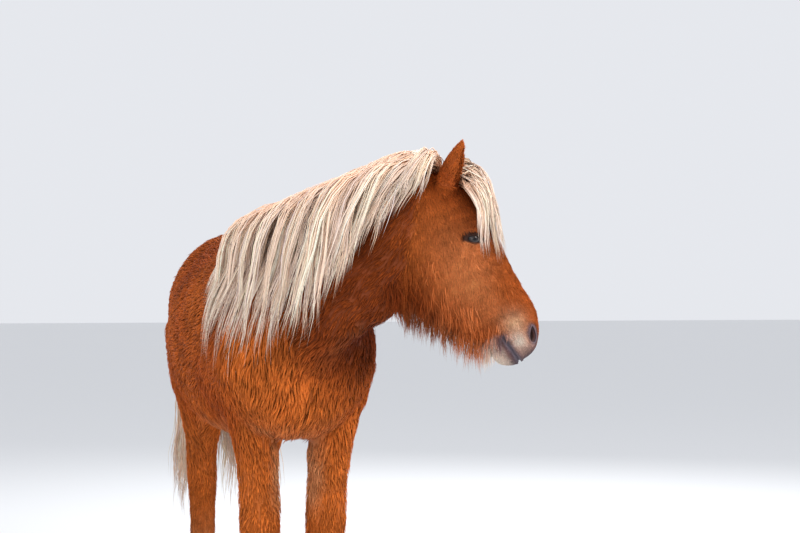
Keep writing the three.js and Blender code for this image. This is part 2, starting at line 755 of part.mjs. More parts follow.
// Forelock: tiers from between the ears that fan out down the forehead, the later ones off the face
const FORELOCK_TIERS = [
  { count: 4, along: 84, shift: -0.06, lie: 8 },
  { count: 3, along: 66, shift: 0.06, lie: 22 },
  { count: 3, along: 42, shift: 0, lie: 36 },
];
const FORELOCK = { width: 50, thick: 8, rise: 34, spread: 60, length: 270, lift: 0.45, fan: 0.7, lean: 0.12 };
const FORELOCK_HANG = { steps: 4, stiff: 0.5 };
const FORELOCK_FALL = { down: 0.2, fan: 0.6, shorter: 0.25 };
const FORELOCK_VARIED = { along: 0.08, length: 0.12, lie: 0.2, width: 0.12 };
function forelockLocks() {
  return FORELOCK_TIERS.flatMap(({ count, along, shift, lie }) =>
    numbers(count).map((index) => {
      const place = (index + 0.5) / count - 0.5 + shift;
      const side = headSide.clone().multiplyScalar(place * FORELOCK.fan - FORELOCK.lean);
      const shorter = 1 - FORELOCK_FALL.shorter * Math.abs(place);
      const origin = {
        along: along * vary(FORELOCK_VARIED.along),
        rise: FORELOCK.rise,
        side: place * FORELOCK.spread,
      };
      return {
        root: onFace(origin, 1).point,
        heading: headAlong.clone().addScaledVector(headRise, FORELOCK.lift).add(side),
        fall: headAlong
          .clone()
          .addScaledVector(DOWN, FORELOCK_FALL.down)
          .addScaledVector(side, FORELOCK_FALL.fan)
          .normalize(),
        length: FORELOCK.length * vary(FORELOCK_VARIED.length) * shorter,
        lie: lie * vary(FORELOCK_VARIED.lie),
        ...FORELOCK_HANG,
        width: FORELOCK.width * vary(FORELOCK_VARIED.width),
        thick: FORELOCK.thick,
      };
    }),
  );
}

// Jaw fringe: short uneven locks that hang from under the cheeks and chin
const FRINGE = { perSide: 7, from: 325, to: 552, length: 82, width: 50, thick: 9, angle: 24, stray: 0.3 };
const FRINGE_HANG = { lie: 3, steps: 3, stiff: 0.5 };
const FRINGE_VARIED = { angle: 0.3, length: 0.4, width: 0.25 };
function fringeLocks() {
  const jaw = new Form(headStations());
  return HANDS.flatMap((hand) =>
    numbers(FRINGE.perSide).map((index) => {
      const along = lerp(FRINGE.from, FRINGE.to, (index + (hand > 0 ? 0 : 0.5)) / FRINGE.perSide);
      const next = HEAD.findIndex(([distance]) => distance > along);
      const [before] = HEAD[next - 1];
      const place = next - 1 + (along - before) / (HEAD[next][0] - before);
      const angle = hand * radians(FRINGE.angle * vary(FRINGE_VARIED.angle)) - Math.PI / 2;
      const root = jaw.point(place, angle);
      const { way } = skin.nearest(root);
      const stray = headAlong.clone().multiplyScalar(FRINGE.stray * (2 * random() - 1));
      return {
        root,
        heading: way.clone().add(DOWN).add(stray),
        fall: DOWN.clone().add(stray).normalize(),
        length: FRINGE.length * vary(FRINGE_VARIED.length),
        ...FRINGE_HANG,
        width: FRINGE.width * vary(FRINGE_VARIED.width),
        thick: FRINGE.thick,
      };
    }),
  );
}

// Tail: rings of long locks round the dock, all but in front, the upper ones lying over the lower
const TAIL_RINGS = [
  { place: 2.1, count: 5, length: 940, lie: 30 },
  { place: 3.1, count: 5, length: 850, lie: 18 },
  { place: 4.4, count: 5, length: 690, lie: 7 },
];
const TAIL_HAIR = { wrap: 290, turn: 6, width: 72, thick: 9, spread: 0.35, flat: 0.6 };
const TAIL_HANG = { steps: 5, stiff: 0.5 };
const TAIL_VARIED = { length: 0.06, width: 0.12 };
function tailLocks() {
  const dock = tailForm(0);
  return TAIL_RINGS.flatMap(({ place, count, length, lie }) =>
    numbers(count).map((index) => {
      const turn = ((index + 0.5) / count - 0.5) * TAIL_HAIR.wrap + place * TAIL_HAIR.turn;
      const angle = radians(turn) - Math.PI / 2;
      const out = leftOf(0).multiplyScalar(Math.cos(angle));
      out.addScaledVector(vec(1, 0, 0), TAIL_HAIR.flat * Math.sin(angle));
      return {
        root: dock.point(place, angle),
        heading: DOWN.clone().addScaledVector(out, TAIL_HAIR.spread),
        fall: DOWN,
        length: length * vary(TAIL_VARIED.length),
        lie,
        ...TAIL_HANG,
        width: TAIL_HAIR.width * vary(TAIL_VARIED.width),
        thick: TAIL_HAIR.thick,
      };
    }),
  );
}

// Feather: locks behind each fetlock, the middle ones longest
const FEATHER = { height: 205, count: 4, wrap: 62, length: 105, width: 38, thick: 7, lift: 0.5 };
const FEATHER_HANG = { lie: 5, steps: 4, stiff: 0.4 };
const FEATHER_VARIED = { length: 0.1, shorter: 0.3 };
function featherLocks(rows, hand, lean) {
  const below = rows.findIndex(([height]) => height < FEATHER.height);
  const [above] = rows[below - 1];
  const place = below - (FEATHER.height - rows[below][0]) / (above - rows[below][0]);
  const leg = legForm(rows, hand, lean);
  return numbers(FEATHER.count).map((index) => {
    const turn = (2 * index) / (FEATHER.count - 1) - 1;
    return {
      root: leg.point(place, -Math.PI / 2 + turn * radians(FEATHER.wrap)),
      heading: DOWN.clone().addScaledVector(vec(-1, 0, 0), FEATHER.lift),
      fall: DOWN,
      length: FEATHER.length * (1 - FEATHER_VARIED.shorter * Math.abs(turn)) * vary(FEATHER_VARIED.length),
      ...FEATHER_HANG,
      width: FEATHER.width,
      thick: FEATHER.thick,
    };
  });
}

const ears = HANDS.map((hand) => earForm(hand, WHOLE_EAR).solid(FACETS.ear));
parts.neck = withLocks(parts.neck, skin, maneLocks());
parts.head = withLocks(parts.head, new Skin(fuse([flesh, ...ears])), forelockLocks());
parts.head = withLocks(parts.head, skin, fringeLocks());
parts.tail = withLocks(parts.tail, new Skin(fuse([parts.tail, flesh])), tailLocks());
for (const hand of HANDS) {
  for (const { limb, rows, lean } of LIMBS) {
    const name = `${limb}_${sideOf(hand)}`;
    parts[name] = withLocks(parts[name], skin, featherLocks(rows, hand, lean));
  }
}

const COAT_FINISH = { color: COLOURS.coat, roughness: 0.85 };
const FINISHES = {
  eye: { color: COLOURS.eye, roughness: 0.1 },
  hoof: { color: COLOURS.hoof, roughness: 0.55 },
  tail: { color: COLOURS.mane, roughness: 0.7 },
};
const horse = new THREE.Group();
for (const [name, body] of Object.entries(parts)) {
  const finish = FINISHES[name.split('_')[0]] ?? COAT_FINISH;
  const material = new THREE.MeshStandardMaterial({ ...finish, metalness: 0 });
  const mesh = new THREE.Mesh(cleanSurface(body), material);
  mesh.name = name;
  horse.add(mesh);
}

// The origin is on the floor, under the middle of the whole horse
const extent = new THREE.Box3().setFromObject(horse, true);
const middle = extent.getCenter(vec(0, 0, 0));
horse.position.set(-middle.x, -middle.y, -extent.min.z);
const placed = new THREE.Group();
placed.add(horse);

export default placed;
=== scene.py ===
"""An icelandic horse at life size, in its thick winter coat, on a plain pale floor.

The skin, coat, hair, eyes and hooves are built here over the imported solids. Sizes in the tables are
millimetres in the drawing's own frame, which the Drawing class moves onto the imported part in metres.
"""

import logging
import math
from collections.abc import Callable
from dataclasses import dataclass, field
from enum import Enum

import bpy
import numpy as np
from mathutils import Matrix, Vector
from mathutils.bvhtree import BVHTree

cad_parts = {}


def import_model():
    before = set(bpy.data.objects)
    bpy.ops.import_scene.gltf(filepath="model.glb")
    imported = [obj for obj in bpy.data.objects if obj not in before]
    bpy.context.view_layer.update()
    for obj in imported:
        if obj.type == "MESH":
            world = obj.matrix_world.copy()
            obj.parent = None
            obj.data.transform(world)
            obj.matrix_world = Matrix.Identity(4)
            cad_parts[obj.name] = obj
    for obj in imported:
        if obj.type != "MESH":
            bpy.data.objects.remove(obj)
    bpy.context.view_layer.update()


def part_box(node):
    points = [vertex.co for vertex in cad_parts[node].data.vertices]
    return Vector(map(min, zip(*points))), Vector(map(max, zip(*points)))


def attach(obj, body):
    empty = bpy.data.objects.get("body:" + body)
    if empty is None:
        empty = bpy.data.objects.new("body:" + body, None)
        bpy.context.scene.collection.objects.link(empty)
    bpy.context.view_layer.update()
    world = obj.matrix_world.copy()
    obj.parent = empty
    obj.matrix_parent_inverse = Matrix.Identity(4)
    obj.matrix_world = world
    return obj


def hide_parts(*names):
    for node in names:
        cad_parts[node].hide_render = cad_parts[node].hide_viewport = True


Array = np.ndarray
Rng = np.random.Generator
Piece = bpy.types.Object
Node = bpy.types.Node
Material = bpy.types.Material
Faces = list[tuple[int, ...]]

LOG = logging.getLogger("horse")
SEED = 4906

# Named places and turns of the drawing, in millimetres and degrees
HEAD_YAW = 75.0
HEAD_DROP = 57.0
POLL = np.array([889.0, 323.0, 1530.0])
FORELEG_LEAN = 15.0
FORE_HEEL = 422.0
FORE_SOLE_MIDDLE = 117.0
SECTION_POWER = 2.25
HANDS = (1, -1)
SIDES = ("left", "right")


def unit(vector: Array) -> Array:
    """Scale vectors along the last axis to a length of one."""
    return vector / np.maximum(np.linalg.norm(vector, axis=-1, keepdims=True), 1e-9)


def heading(yaw: float) -> Array:
    """Return the level direction at a yaw in degrees round Z."""
    return np.array([math.cos(math.radians(yaw)), math.sin(math.radians(yaw)), 0.0])


def smooth(low: float, high: float, value: Array) -> Array:
    """Blend from 0 at low to 1 at high, with level ends; low may be the greater."""
    share = np.clip((value - low) / (high - low), 0.0, 1.0)
    return share * share * (3.0 - 2.0 * share)


def mix(first: Array, second: Array, share: Array) -> Array:
    """Blend two vectors, or rows of them, by a share for each row."""
    share = np.asarray(share)[..., None]
    return first * (1.0 - share) + second * share


UP = np.array([0.0, 0.0, 1.0])
DOWN = -UP
AHEAD = heading(HEAD_YAW)
ALONG = AHEAD * math.cos(math.radians(HEAD_DROP)) - UP * math.sin(math.radians(HEAD_DROP))
RISE = AHEAD * math.sin(math.radians(HEAD_DROP)) + UP * math.cos(math.radians(HEAD_DROP))
SIDE = heading(HEAD_YAW + 90.0)


def on_head(along: float, rise: float, side: float) -> Array:
    """Turn a place in the head's own axes, from the poll, into the drawing's frame."""
    return POLL + ALONG * along + RISE * rise + SIDE * side


# Trunk: distance forward, top, bottom, half width, widest height, narrowing at the top
TRUNK = (
    (-738, 1180, 1060, 60, 1120, 0.0),
    (-712, 1272, 985, 150, 1100, 0.0),
    (-650, 1345, 900, 205, 1090, 0.05),
    (-560, 1376, 845, 238, 1080, 0.08),
    (-450, 1382, 785, 260, 1060, 0.08),
    (-320, 1357, 728, 282, 1020, 0.05),
    (-165, 1334, 694, 300, 985, 0.04),
    (0, 1326, 682, 304, 970, 0.06),
    (170, 1345, 688, 290, 980, 0.14),
    (335, 1392, 700, 266, 1000, 0.28),
    (450, 1365, 706, 252, 1000, 0.26),
    (570, 1280, 728, 236, 985, 0.12),
    (668, 1170, 790, 192, 970, 0.0),
    (724, 1080, 880, 112, 975, 0.0),
)

# Neck: crest point, throat side point, half width, heading, narrowing at the crest and throat
NECK = (
    ((250, 0, 1320), (560, 0, 830), 170, 0, 0.5, 0.2),
    ((345, 0, 1388), (722, 8, 905), 205, 6, 0.55, 0.2),
    ((455, 42, 1414), (786, 55, 975), 185, 16, 0.55, 0.25),
    ((595, 128, 1450), (838, 120, 1024), 155, 30, 0.5, 0.3),
    ((735, 222, 1503), (868, 192, 1064), 130, 47, 0.4, 0.35),
    ((838, 288, 1533), (880, 245, 1105), 118, 62, 0.22, 0.35),
    ((893, 345, 1508), (900, 325, 1150), 98, 74, 0.2, 0.3),
)
NECK_WAIST = 0.45

# Head: distance from the poll, face line, jaw line, half width, widest place, narrowings
HEAD = (
    (14, -45, -170, 34, 0.6, 0.1, 0.3),
    (52, 10, -236, 66, 0.62, 0.1, 0.3),
    (100, 40, -268, 90, 0.66, 0.15, 0.3),
    (155, 54, -283, 100, 0.7, 0.18, 0.3),
    (210, 57, -288, 106, 0.72, 0.22, 0.3),
    (265, 49, -284, 104, 0.66, 0.3, 0.28),
    (320, 42, -272, 98, 0.56, 0.42, 0.3),
    (380, 34, -246, 84, 0.56, 0.45, 0.35),
    (440, 29, -212, 68, 0.6, 0.4, 0.3),
    (490, 29, -182, 60, 0.6, 0.3, 0.2),
    (530, 22, -164, 60, 0.6, 0.25, 0.15),
    (565, 6, -158, 58, 0.6, 0.2, 0.15),
    (596, -20, -146, 48, 0.6, 0.1, 0.1),
    (614, -48, -128, 30, 0.6, 0.0, 0.0),
)

# Legs: height, front, back, and the inner and outer distance from the middle of the trunk
FORELEG = (
    (1080, 560, 420, 110, 205),
    (960, 604, 380, 82, 236),
    (860, 588, 345, 62, 232),
    (790, 560, 343, 46, 212),
    (700, 542, 364, 40, 190),
    (600, 523, 384, 42, 172),
    (500, 509, 396, 38, 168),
    (420, 507, 393, 40, 162),
    (368, 500, 398, 49, 153),
    (310, 486, 404, 57, 146),
    (240, 484, 402, 59, 144),
    (195, 496, 388, 52, 151),
    (150, 507, 398, 57, 147),
    (105, 524, 410, 53, 151),
    (50, 548, 428, 48, 156),
)
HINDLEG = (
    (1150, -340, -680, 60, 205),
    (1040, -300, -726, 30, 260),
    (940, -298, -734, 26, 262),
    (850, -308, -718, 28, 248),
    (770, -350, -702, 38, 225),
    (690, -424, -698, 50, 200),
    (610, -508, -706, 56, 180),
    (545, -566, -728, 58, 172),
    (480, -590, -722, 56, 168),
    (420, -603, -706, 58, 162),
    (330, -608, -698, 61, 158),
    (250, -607, -698, 61, 158),
    (200, -592, -706, 54, 164),
    (150, -578, -692, 58, 160),
    (105, -560, -680, 55, 163),
    (50, -534, -664, 50, 168),
)

# Hoof: height, front, back and half width, from just above the coronet to the sole
FORE_HOOF = ((96, 524, 430, 47), (60, 541, 427, 52), (0, 566, 422, 61))
HIND_HOOF = ((96, -556, -654, 45), (60, -540, -658, 50), (0, -516, -664, 57))
CORONET_TOE = 84.0
CORONET_HEEL = 50.0

# Tail: front point, back point and half width down the dock and the core of its hair
TAIL = (
    ((-676, 0, 1262), (-676, 0, 1322), 26),
    ((-730, 0, 1254), (-738, 0, 1318), 32),
    ((-775, 0, 1220), (-806, 0, 1280), 36),
    ((-794, 0, 1150), (-860, 0, 1168), 48),
    ((-796, 0, 1040), (-874, 0, 1044), 60),
    ((-798, 0, 900), (-876, 0, 900), 62),
    ((-806, 0, 800), (-860, 0, 800), 44),
    ((-820, 0, 740), (-845, 0, 740), 16),
)

# Ear: distance up from its base, half width and half depth as shares of its length
EAR_ROWS = (
    (1.0, 0.02, 0.02),
    (0.88, 0.08, 0.1),
    (0.7, 0.13, 0.18),
    (0.48, 0.18, 0.235),
    (0.24, 0.2, 0.25),
    (0.0, 0.19, 0.235),
    (-0.25, 0.15, 0.17),
)

# Muscles and bony places: where, how far round, and how far they push the surface out
SWELLS = (
    ((565, 222, 1000), 120, 20),
    ((395, 215, 880), 90, 12),
    ((-520, 235, 1150), 130, 14),
    ((-345, 225, 850), 90, 12),
    ((-400, 235, 1290), 60, 12),
    ((700, 85, 985), 70, 16),
)
HEAD_SWELLS = (
    ((300, -180, 90), 80, 12),
    ((222, 8, 96), 38, 16),
    ((180, -5, 96), 30, -9),
    ((370, -70, 80), 40, 6),
    ((566, -30, 55), 30, 9),
    ((592, -78, 20), 26, 6),
    ((578, -132, 18), 26, 6),
)

# How far each station of the dock's skin lies inside the tail's drawing
DOCK_GROWTH = [-4.0, -6.0, -10.0, -22.0, -42.0]


@dataclass(frozen=True)
class Limb:
    """One pair of legs, fore or hind, with the tables of its legs and hooves.

    Both legs lean to the left of the middle, and the span is where they lie from back to front.
    """

    end: str
    rows: tuple
    hoof: tuple
    lean: float
    hoof_aside: float
    span: tuple[float, float]


LIMBS = (
    Limb("fore", FORELEG, FORE_HOOF, FORELEG_LEAN, FORE_SOLE_MIDDLE - FORELEG_LEAN, (250, 700)),
    Limb("hind", HINDLEG, HIND_HOOF, 0.0, 109.0, (-760, -300)),
)


def all_swells() -> list[tuple[Array, float, float]]:
    """Collect the muscles and bony places of both sides of the animal.

    Returns:
        The place of each in the drawing's frame, its reach and its push.
    """
    found = []
    for hand in HANDS:
        for (x, y, z), reach, push in SWELLS:
            found.append((np.array([x, y * hand, z], float), reach, push))
        for (along, rise, side), reach, push in HEAD_SWELLS:
            found.append((on_head(along, rise, side * hand), reach, push))
    return found


def blend_rows(rows: Array, place: Array) -> Array:
    """Read Catmull-Rom values of rows at places counted in stations.

    Args:
        rows: One row of values for each station.
        place: Where to read, in stations.

    Returns:
        One row of values for each place.
    """
    last = len(rows) - 1
    first = np.clip(np.floor(place).astype(int), 0, last - 1)
    a, b, c, d = (rows[np.clip(first + step, 0, last)] for step in (-1, 0, 1, 2))
    t = (place - first)[:, None]
    bend = 2 * a - 5 * b + 4 * c - d + (3 * (b - c) + d - a) * t
    return b + 0.5 * t * (c - a + t * bend)


@dataclass
class Station:
    """One rounded section of a form.

    Args:
        top: Its upper or front point.
        bottom: Its lower or back point.
        half: Half its width.
        yaw: Heading in degrees that its width is square to.
        waist: Where its widest place lies between bottom and top.
        narrow: Its narrowing at the top and at the bottom.
    """

    top: tuple | Array
    bottom: tuple | Array
    half: float
    yaw: float = 0.0
    waist: float = 0.5
    narrow: tuple | list = (0.0, 0.0)


@dataclass
class Form:
    """A fleshy form between two outlines, as a loft of rounded sections.

    Args:
        table: A row for each station: top, bottom, half width, yaw, waist, narrowings and growth.
        swells: The muscles and bony places that push the surface out.
    """

    table: Array
    swells: list = field(default_factory=all_swells)

    @staticmethod
    def of(stations: list[Station], grow: float | list[float] = 0.0) -> "Form":
        """Make a form from its stations.

        Args:
            stations: The sections in their order.
            grow: How far the surface is drawn out, for all or each.

        Returns:
            The form.
        """
        rows = []
        for at, grown in zip(stations, np.broadcast_to(grow, (len(stations),))):
            rows.append([*at.top, *at.bottom, at.half, at.yaw, at.waist, *at.narrow, grown])
        return Form(np.array(rows, float))

    def yaw(self, place: float) -> float:
        """Return the heading in degrees at a place counted in stations."""
        return float(blend_rows(self.table[:, 7:8], np.array([place]))[0, 0])

    def point(self, place: float, angle: float) -> Array:
        """Return the one surface point at a place and an angle in radians."""
        return self.points(np.array([place]), np.array([angle]))[0]

    def points(self, place: Array, angle: Array) -> Array:
        """Return surface points at station places and at angles from the left round to the top.

        Args:
            place: Places counted in stations.
            angle: Angles in radians.

        Returns:
            Points in the drawing's frame.
        """
        row = blend_rows(self.table, place)
        top, bottom = row[:, 0:3], row[:, 3:6]
        half, yaw, waist, narrow_top, narrow_bottom, grow = row[:, 6:12].T
        rise = top - bottom
        depth = np.maximum(np.linalg.norm(rise, axis=1), 1e-6)
        rise = rise / depth[:, None]
        centre = bottom + (top - bottom) * waist[:, None]
        across, height = np.cos(angle), np.sin(angle)
        power = 2.0 / SECTION_POWER
        narrow = np.where(height > 0, narrow_top, narrow_bottom)
        wide = (half + grow) * (1 - narrow * height * height)
        tall = depth * np.where(height > 0, 1 - waist, waist) + grow
        left = np.stack([-np.sin(np.radians(yaw)), np.cos(np.radians(yaw)), np.zeros_like(yaw)], axis=1)
        offset = left * (np.sign(across) * wide * np.abs(across) ** power)[:, None]
        offset = offset + rise * (np.sign(height) * tall * np.abs(height) ** power)[:, None]
        point, outward = centre + offset, unit(offset)
        for at, radius, push in self.swells:
            near = np.exp(-np.sum((point - at) ** 2, axis=1) / (radius * radius))
            point = point + outward * (push * near)[:, None]
        return point

    def tube(self, rings: int, sides: int) -> tuple[Array, Faces]:
        """Return the points and faces of the capped tube of sections.

        Args:
            rings: Steps along the form.
            sides: Points round each section.

        Returns:
            Points in the drawing's frame, and faces that point outwards.
        """
        place = np.repeat(np.linspace(0, len(self.table) - 1, rings + 1), sides)
        angle = np.tile(np.arange(sides) * 2 * math.pi / sides, rings + 1)
        return self.points(place, angle), ring_faces(rings + 1, sides, False)


def ring_faces(rings: int, sides: int, closed: bool) -> Faces:
    """Return the faces between rings of points, and the caps of an open run.

    Args:
        rings: How many rings.
        sides: Points in each.
        closed: Whether the last ring meets the first.

    Returns:
        The faces, each as its points' numbers.
    """
    faces: Faces = []
    for ring in range(rings if closed else rings - 1):
        here, ahead = ring * sides, (ring + 1) % rings * sides
        for side in range(sides):
            beside = (side + 1) % sides
            faces.append((here + side, here + beside, ahead + beside, ahead + side))
    if not closed:
        faces.append(tuple(range(sides))[::-1])
        faces.append(tuple(range((rings - 1) * sides, rings * sides)))
    return faces


def trunk_form(grow: float = 0.0) -> Form:
    """Return the trunk, its surface drawn out by grow."""
    stations = [
        Station((x, 0, top), (x, 0, low), half, 0.0, (wide - low) / (top - low), (narrow, 0.0))
        for x, top, low, half, wide, narrow in TRUNK
    ]
    return Form.of(stations, grow)


def neck_form(grow: float = 0.0) -> Form:
    """Return the neck, its surface drawn out by grow."""
    stations = [Station(top, low, half, yaw, NECK_WAIST, narrow) for top, low, half, yaw, *narrow in NECK]
    return Form.of(stations, grow)


def head_form(grow: float = 0.0) -> Form:
    """Return the head, its surface drawn out by grow."""
    stations = [
        Station(on_head(along, face, 0), on_head(along, jaw, 0), half, HEAD_YAW, waist, narrow)
        for along, face, jaw, half, waist, *narrow in HEAD
    ]
    return Form.of(stations, grow)


def leg_form(limb: Limb, hand: int, grow: float | list[float] = 0.0) -> Form:
    """Return one leg.

    Args:
        limb: The pair that it belongs to.
        hand: 1 for left, -1 for right.
        grow: How far the surface is drawn out, for all or each.

    Returns:
        The leg, from its top down.
    """
    stations = []
    for height, front, back, inner, outer in limb.rows:
        middle = hand * (inner + outer) / 2 + limb.lean
        stations.append(Station((front, middle, height), (back, middle, height), (outer - inner) / 2))
    return Form.of(stations, grow)


def tail_form(grow: float = 0.0) -> Form:
    """Return the dock and the core of the tail, their surface drawn out by grow."""
    return Form.of([Station(*row) for row in TAIL], grow)


@dataclass(frozen=True)
class Drawing:
    """Moves the drawing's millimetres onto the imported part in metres."""

    shift: Array

    @staticmethod
    def fitted() -> "Drawing":
        """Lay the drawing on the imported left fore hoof.

        Returns:
            The drawing in its place.
        """
        low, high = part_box("hoof_fore_left")
        x = low.x - FORE_HEEL / 1000
        y = (low.y + high.y) / 2 - FORE_SOLE_MIDDLE / 1000
        return Drawing(np.array([x, y, 0.0]))

    def place(self, points: Array) -> Array:
        """Turn points of the drawing into metres on the part."""
        return np.asarray(points, float) / 1000 + self.shift

    def back(self, points: Array) -> Array:
        """Turn metres on the part into the drawing's millimetres."""
        return (np.asarray(points, float) - self.shift) * 1000


def ripple(points: Array, length: float, seed: int, waves: int = 6) -> Array:
    """Return a smooth wavering value from -1 to 1 at each point.

    Args:
        points: Points in millimetres.
        length: Typical distance from crest to crest.
        seed: Which of the many patterns.
        waves: How many waves are summed.

    Returns:
        One value for each point.
    """
    rng = np.random.default_rng(seed)
    ways = unit(rng.normal(size=(waves, 3))) * (2 * math.pi / length)
    ways = ways * rng.uniform(0.6, 1.6, size=(waves, 1))
    phase = rng.uniform(0, 2 * math.pi, size=waves)
    value = np.sin(points @ ways.T + phase).sum(axis=1) / math.sqrt(waves / 2)
    return np.clip(value / 2, -1, 1)


def tone(red: int, green: int, blue: int) -> Array:
    """Turn a display colour of 0 to 255 into linear light."""
    share = np.array([red, green, blue]) / 255
    return np.where(share <= 0.04045, share / 12.92, ((share + 0.055) / 1.055) ** 2.4)


CHESTNUT = tone(182, 84, 32)
# Dark chestnut of the coat, also laid over the neck as painted shade under the mane
DARK_CHESTNUT_AND_SHADE = tone(98, 34, 11)
BRIGHT_CHESTNUT = tone(222, 120, 50)
CHEEK = tone(246, 148, 88)
SANDY = tone(222, 164, 118)
NOSE_RIDGE = tone(208, 104, 44)
NOSE_LIGHT = tone(246, 194, 152)
CHIN_WHITE = tone(255, 232, 214)
MUZZLE = tone(142, 112, 108)
LIP_GREY = tone(100, 90, 100)
LID_DARK = tone(40, 26, 24)
FLAXEN = tone(255, 226, 204)
# Darker flaxen at the roots of the long hair, partly their own warmer colour and partly painted shade deep
# in the locks; also the coat's tone at the dock
FLAXEN_SHADE = tone(222, 164, 124)
EYEBALL_DARK = tone(20, 14, 14)
IRIS = tone(40, 26, 24)
PUPIL = tone(6, 5, 8)
HORN_DARK = tone(70, 56, 47)
HORN_LIGHT = tone(118, 98, 80)
FLOOR_PALE = tone(228, 229, 230)

# The plane behind the ears and jaw, by two places on it in the head's own axes
NAPE_TOP = np.array([-8.0, 0.0])
NAPE_THROAT = np.array([302.0, -290.0])
NECK_ROOT = np.array([530.0, 0.0, 1120.0])
NECK_AXIS = unit(np.array([340.0, 290.0, 210.0]))
HEAD_REACH = 800.0

# Places on the face, along and above the line from the poll
EYE_ALONG = 258.0
EYE_RISE = -20.0
NOSTRIL_ALONG = 572.0
NOSTRIL_RISE = -19.0
MOUTH_CORNER = 520.0
MOUTH_RISE = -101.0
MOUTH_SLOPE = 0.05

# The eye's dark rim: its middle, its tilt as cosine and sine, and its half length and half height
RIM_PLACE = (EYE_ALONG - 9, EYE_RISE - 1)
RIM_TILT = (0.656, 0.755)
RIM_SIZE = (42, 18)


@dataclass
class Region:
    """How much each point belongs to the head, neck, legs and chest, with its place on the head."""

    along: Array
    rise: Array
    side: Array
    head: Array
    neck: Array
    leg: Array
    chest: Array

    @staticmethod
    def of(points: Array, normals: Array) -> "Region":
        """Sort points of the drawing into regions.

        Args:
            points: Points in millimetres.
            normals: The way out at each point.

        Returns:
            Shares from 0 to 1 and places in the head's own axes.
        """
        apart = points - POLL
        along, rise, side = apart @ ALONG, apart @ RISE, apart @ SIDE
        down = NAPE_THROAT - NAPE_TOP
        past = ((along - NAPE_TOP[0]) * -down[1] + (rise - NAPE_TOP[1]) * down[0]) / np.hypot(*down)
        near = np.linalg.norm(apart, axis=1) < HEAD_REACH
        head = smooth(-18, 12, past) * near
        leg = smooth(800, 640, points[:, 2])
        neck = smooth(0, 150, (points - NECK_ROOT) @ NECK_AXIS) * (1 - head) * (1 - leg)
        chest = smooth(0.2, 0.7, normals[:, 0]) * smooth(400, 560, points[:, 0]) * (1 - head) * (1 - leg)
        return Region(along, rise, side, head, neck, leg, chest * (1 - 0.85 * neck))

    @staticmethod
    def at(points: Array) -> "Region":
        """Sort points into regions where only the head, neck and legs are asked for."""
        return Region.of(points, np.zeros_like(points))

    def above_mouth(self) -> Array:
        """Return how far each point lies above the line of the mouth."""
        return self.rise - MOUTH_RISE - MOUTH_SLOPE * (self.along - MOUTH_CORNER)


@dataclass(frozen=True)
class Spot:
    """A soft round marking on the side of the face: its middle, its length and its height."""

    along: float
    rise: float
    long: float
    high: float

    def share(self, where: Region) -> Array:
        """Return how much of it lies at each point."""
        apart = ((where.along - self.along) / self.long) ** 2
        return np.exp(-apart - ((where.rise - self.rise) / self.high) ** 2)


CHEEK_SPOT = Spot(330, -92, 150, 85)
MUZZLE_SPOT = Spot(506, -50, 40, 34)
LIP_SPOT = Spot(560, -70, 30, 26)


def markings(points: Array, normals: Array) -> Array:
    """Return the animal's colour at each point, the same for skin and coat.

    Args:
        points: Points in millimetres.
        normals: The way out at each point.

    Returns:
        Linear colours, one row for each point.
    """
    where = Region.of(points, normals)
    x, y, z = points.T
    patch = 0.5 + 0.5 * ripple(points, 420, 11)
    fine = 0.5 + 0.5 * ripple(points, 90, 12)
    inward = -normals[:, 1] * np.sign(y - FORELEG_LEAN / 2)
    forearm = smooth(470, 580, z) * smooth(0, 300, x)
    washes = (
        (BRIGHT_CHESTNUT, 0.4 * patch + 0.15 * fine),
        (DARK_CHESTNUT_AND_SHADE, 0.35 * smooth(0.0, 0.9, ripple(points, 300, 13))),
        (DARK_CHESTNUT_AND_SHADE, 0.3 * smooth(0.5, 0.95, normals[:, 2]) * (1 - where.head)),
        (SANDY, 0.45 * smooth(-0.55, -0.95, normals[:, 2]) * (1 - where.leg)),
        # The neck is darkened, partly for its own darker coat and partly as painted shade under the mane
        (DARK_CHESTNUT_AND_SHADE, (0.84 + 0.16 * fine) * where.neck * (1 - 0.7 * where.chest)),
        (BRIGHT_CHESTNUT, (0.75 - 0.3 * fine) * where.chest),
        (BRIGHT_CHESTNUT, 0.6 * where.leg),
        (SANDY, (0.3 + 0.4 * fine) * where.leg * smooth(0.1, 0.8, inward) * forearm),
        (SANDY, 0.3 * smooth(420, 150, z)),
        (FLAXEN_SHADE, 0.85 * smooth(-735, -780, x) * smooth(1060, 1140, z)),
        *face_washes(where, fine),
    )
    colour = CHESTNUT
    for laid, share in washes:
        colour = mix(colour, laid, share)
    return colour


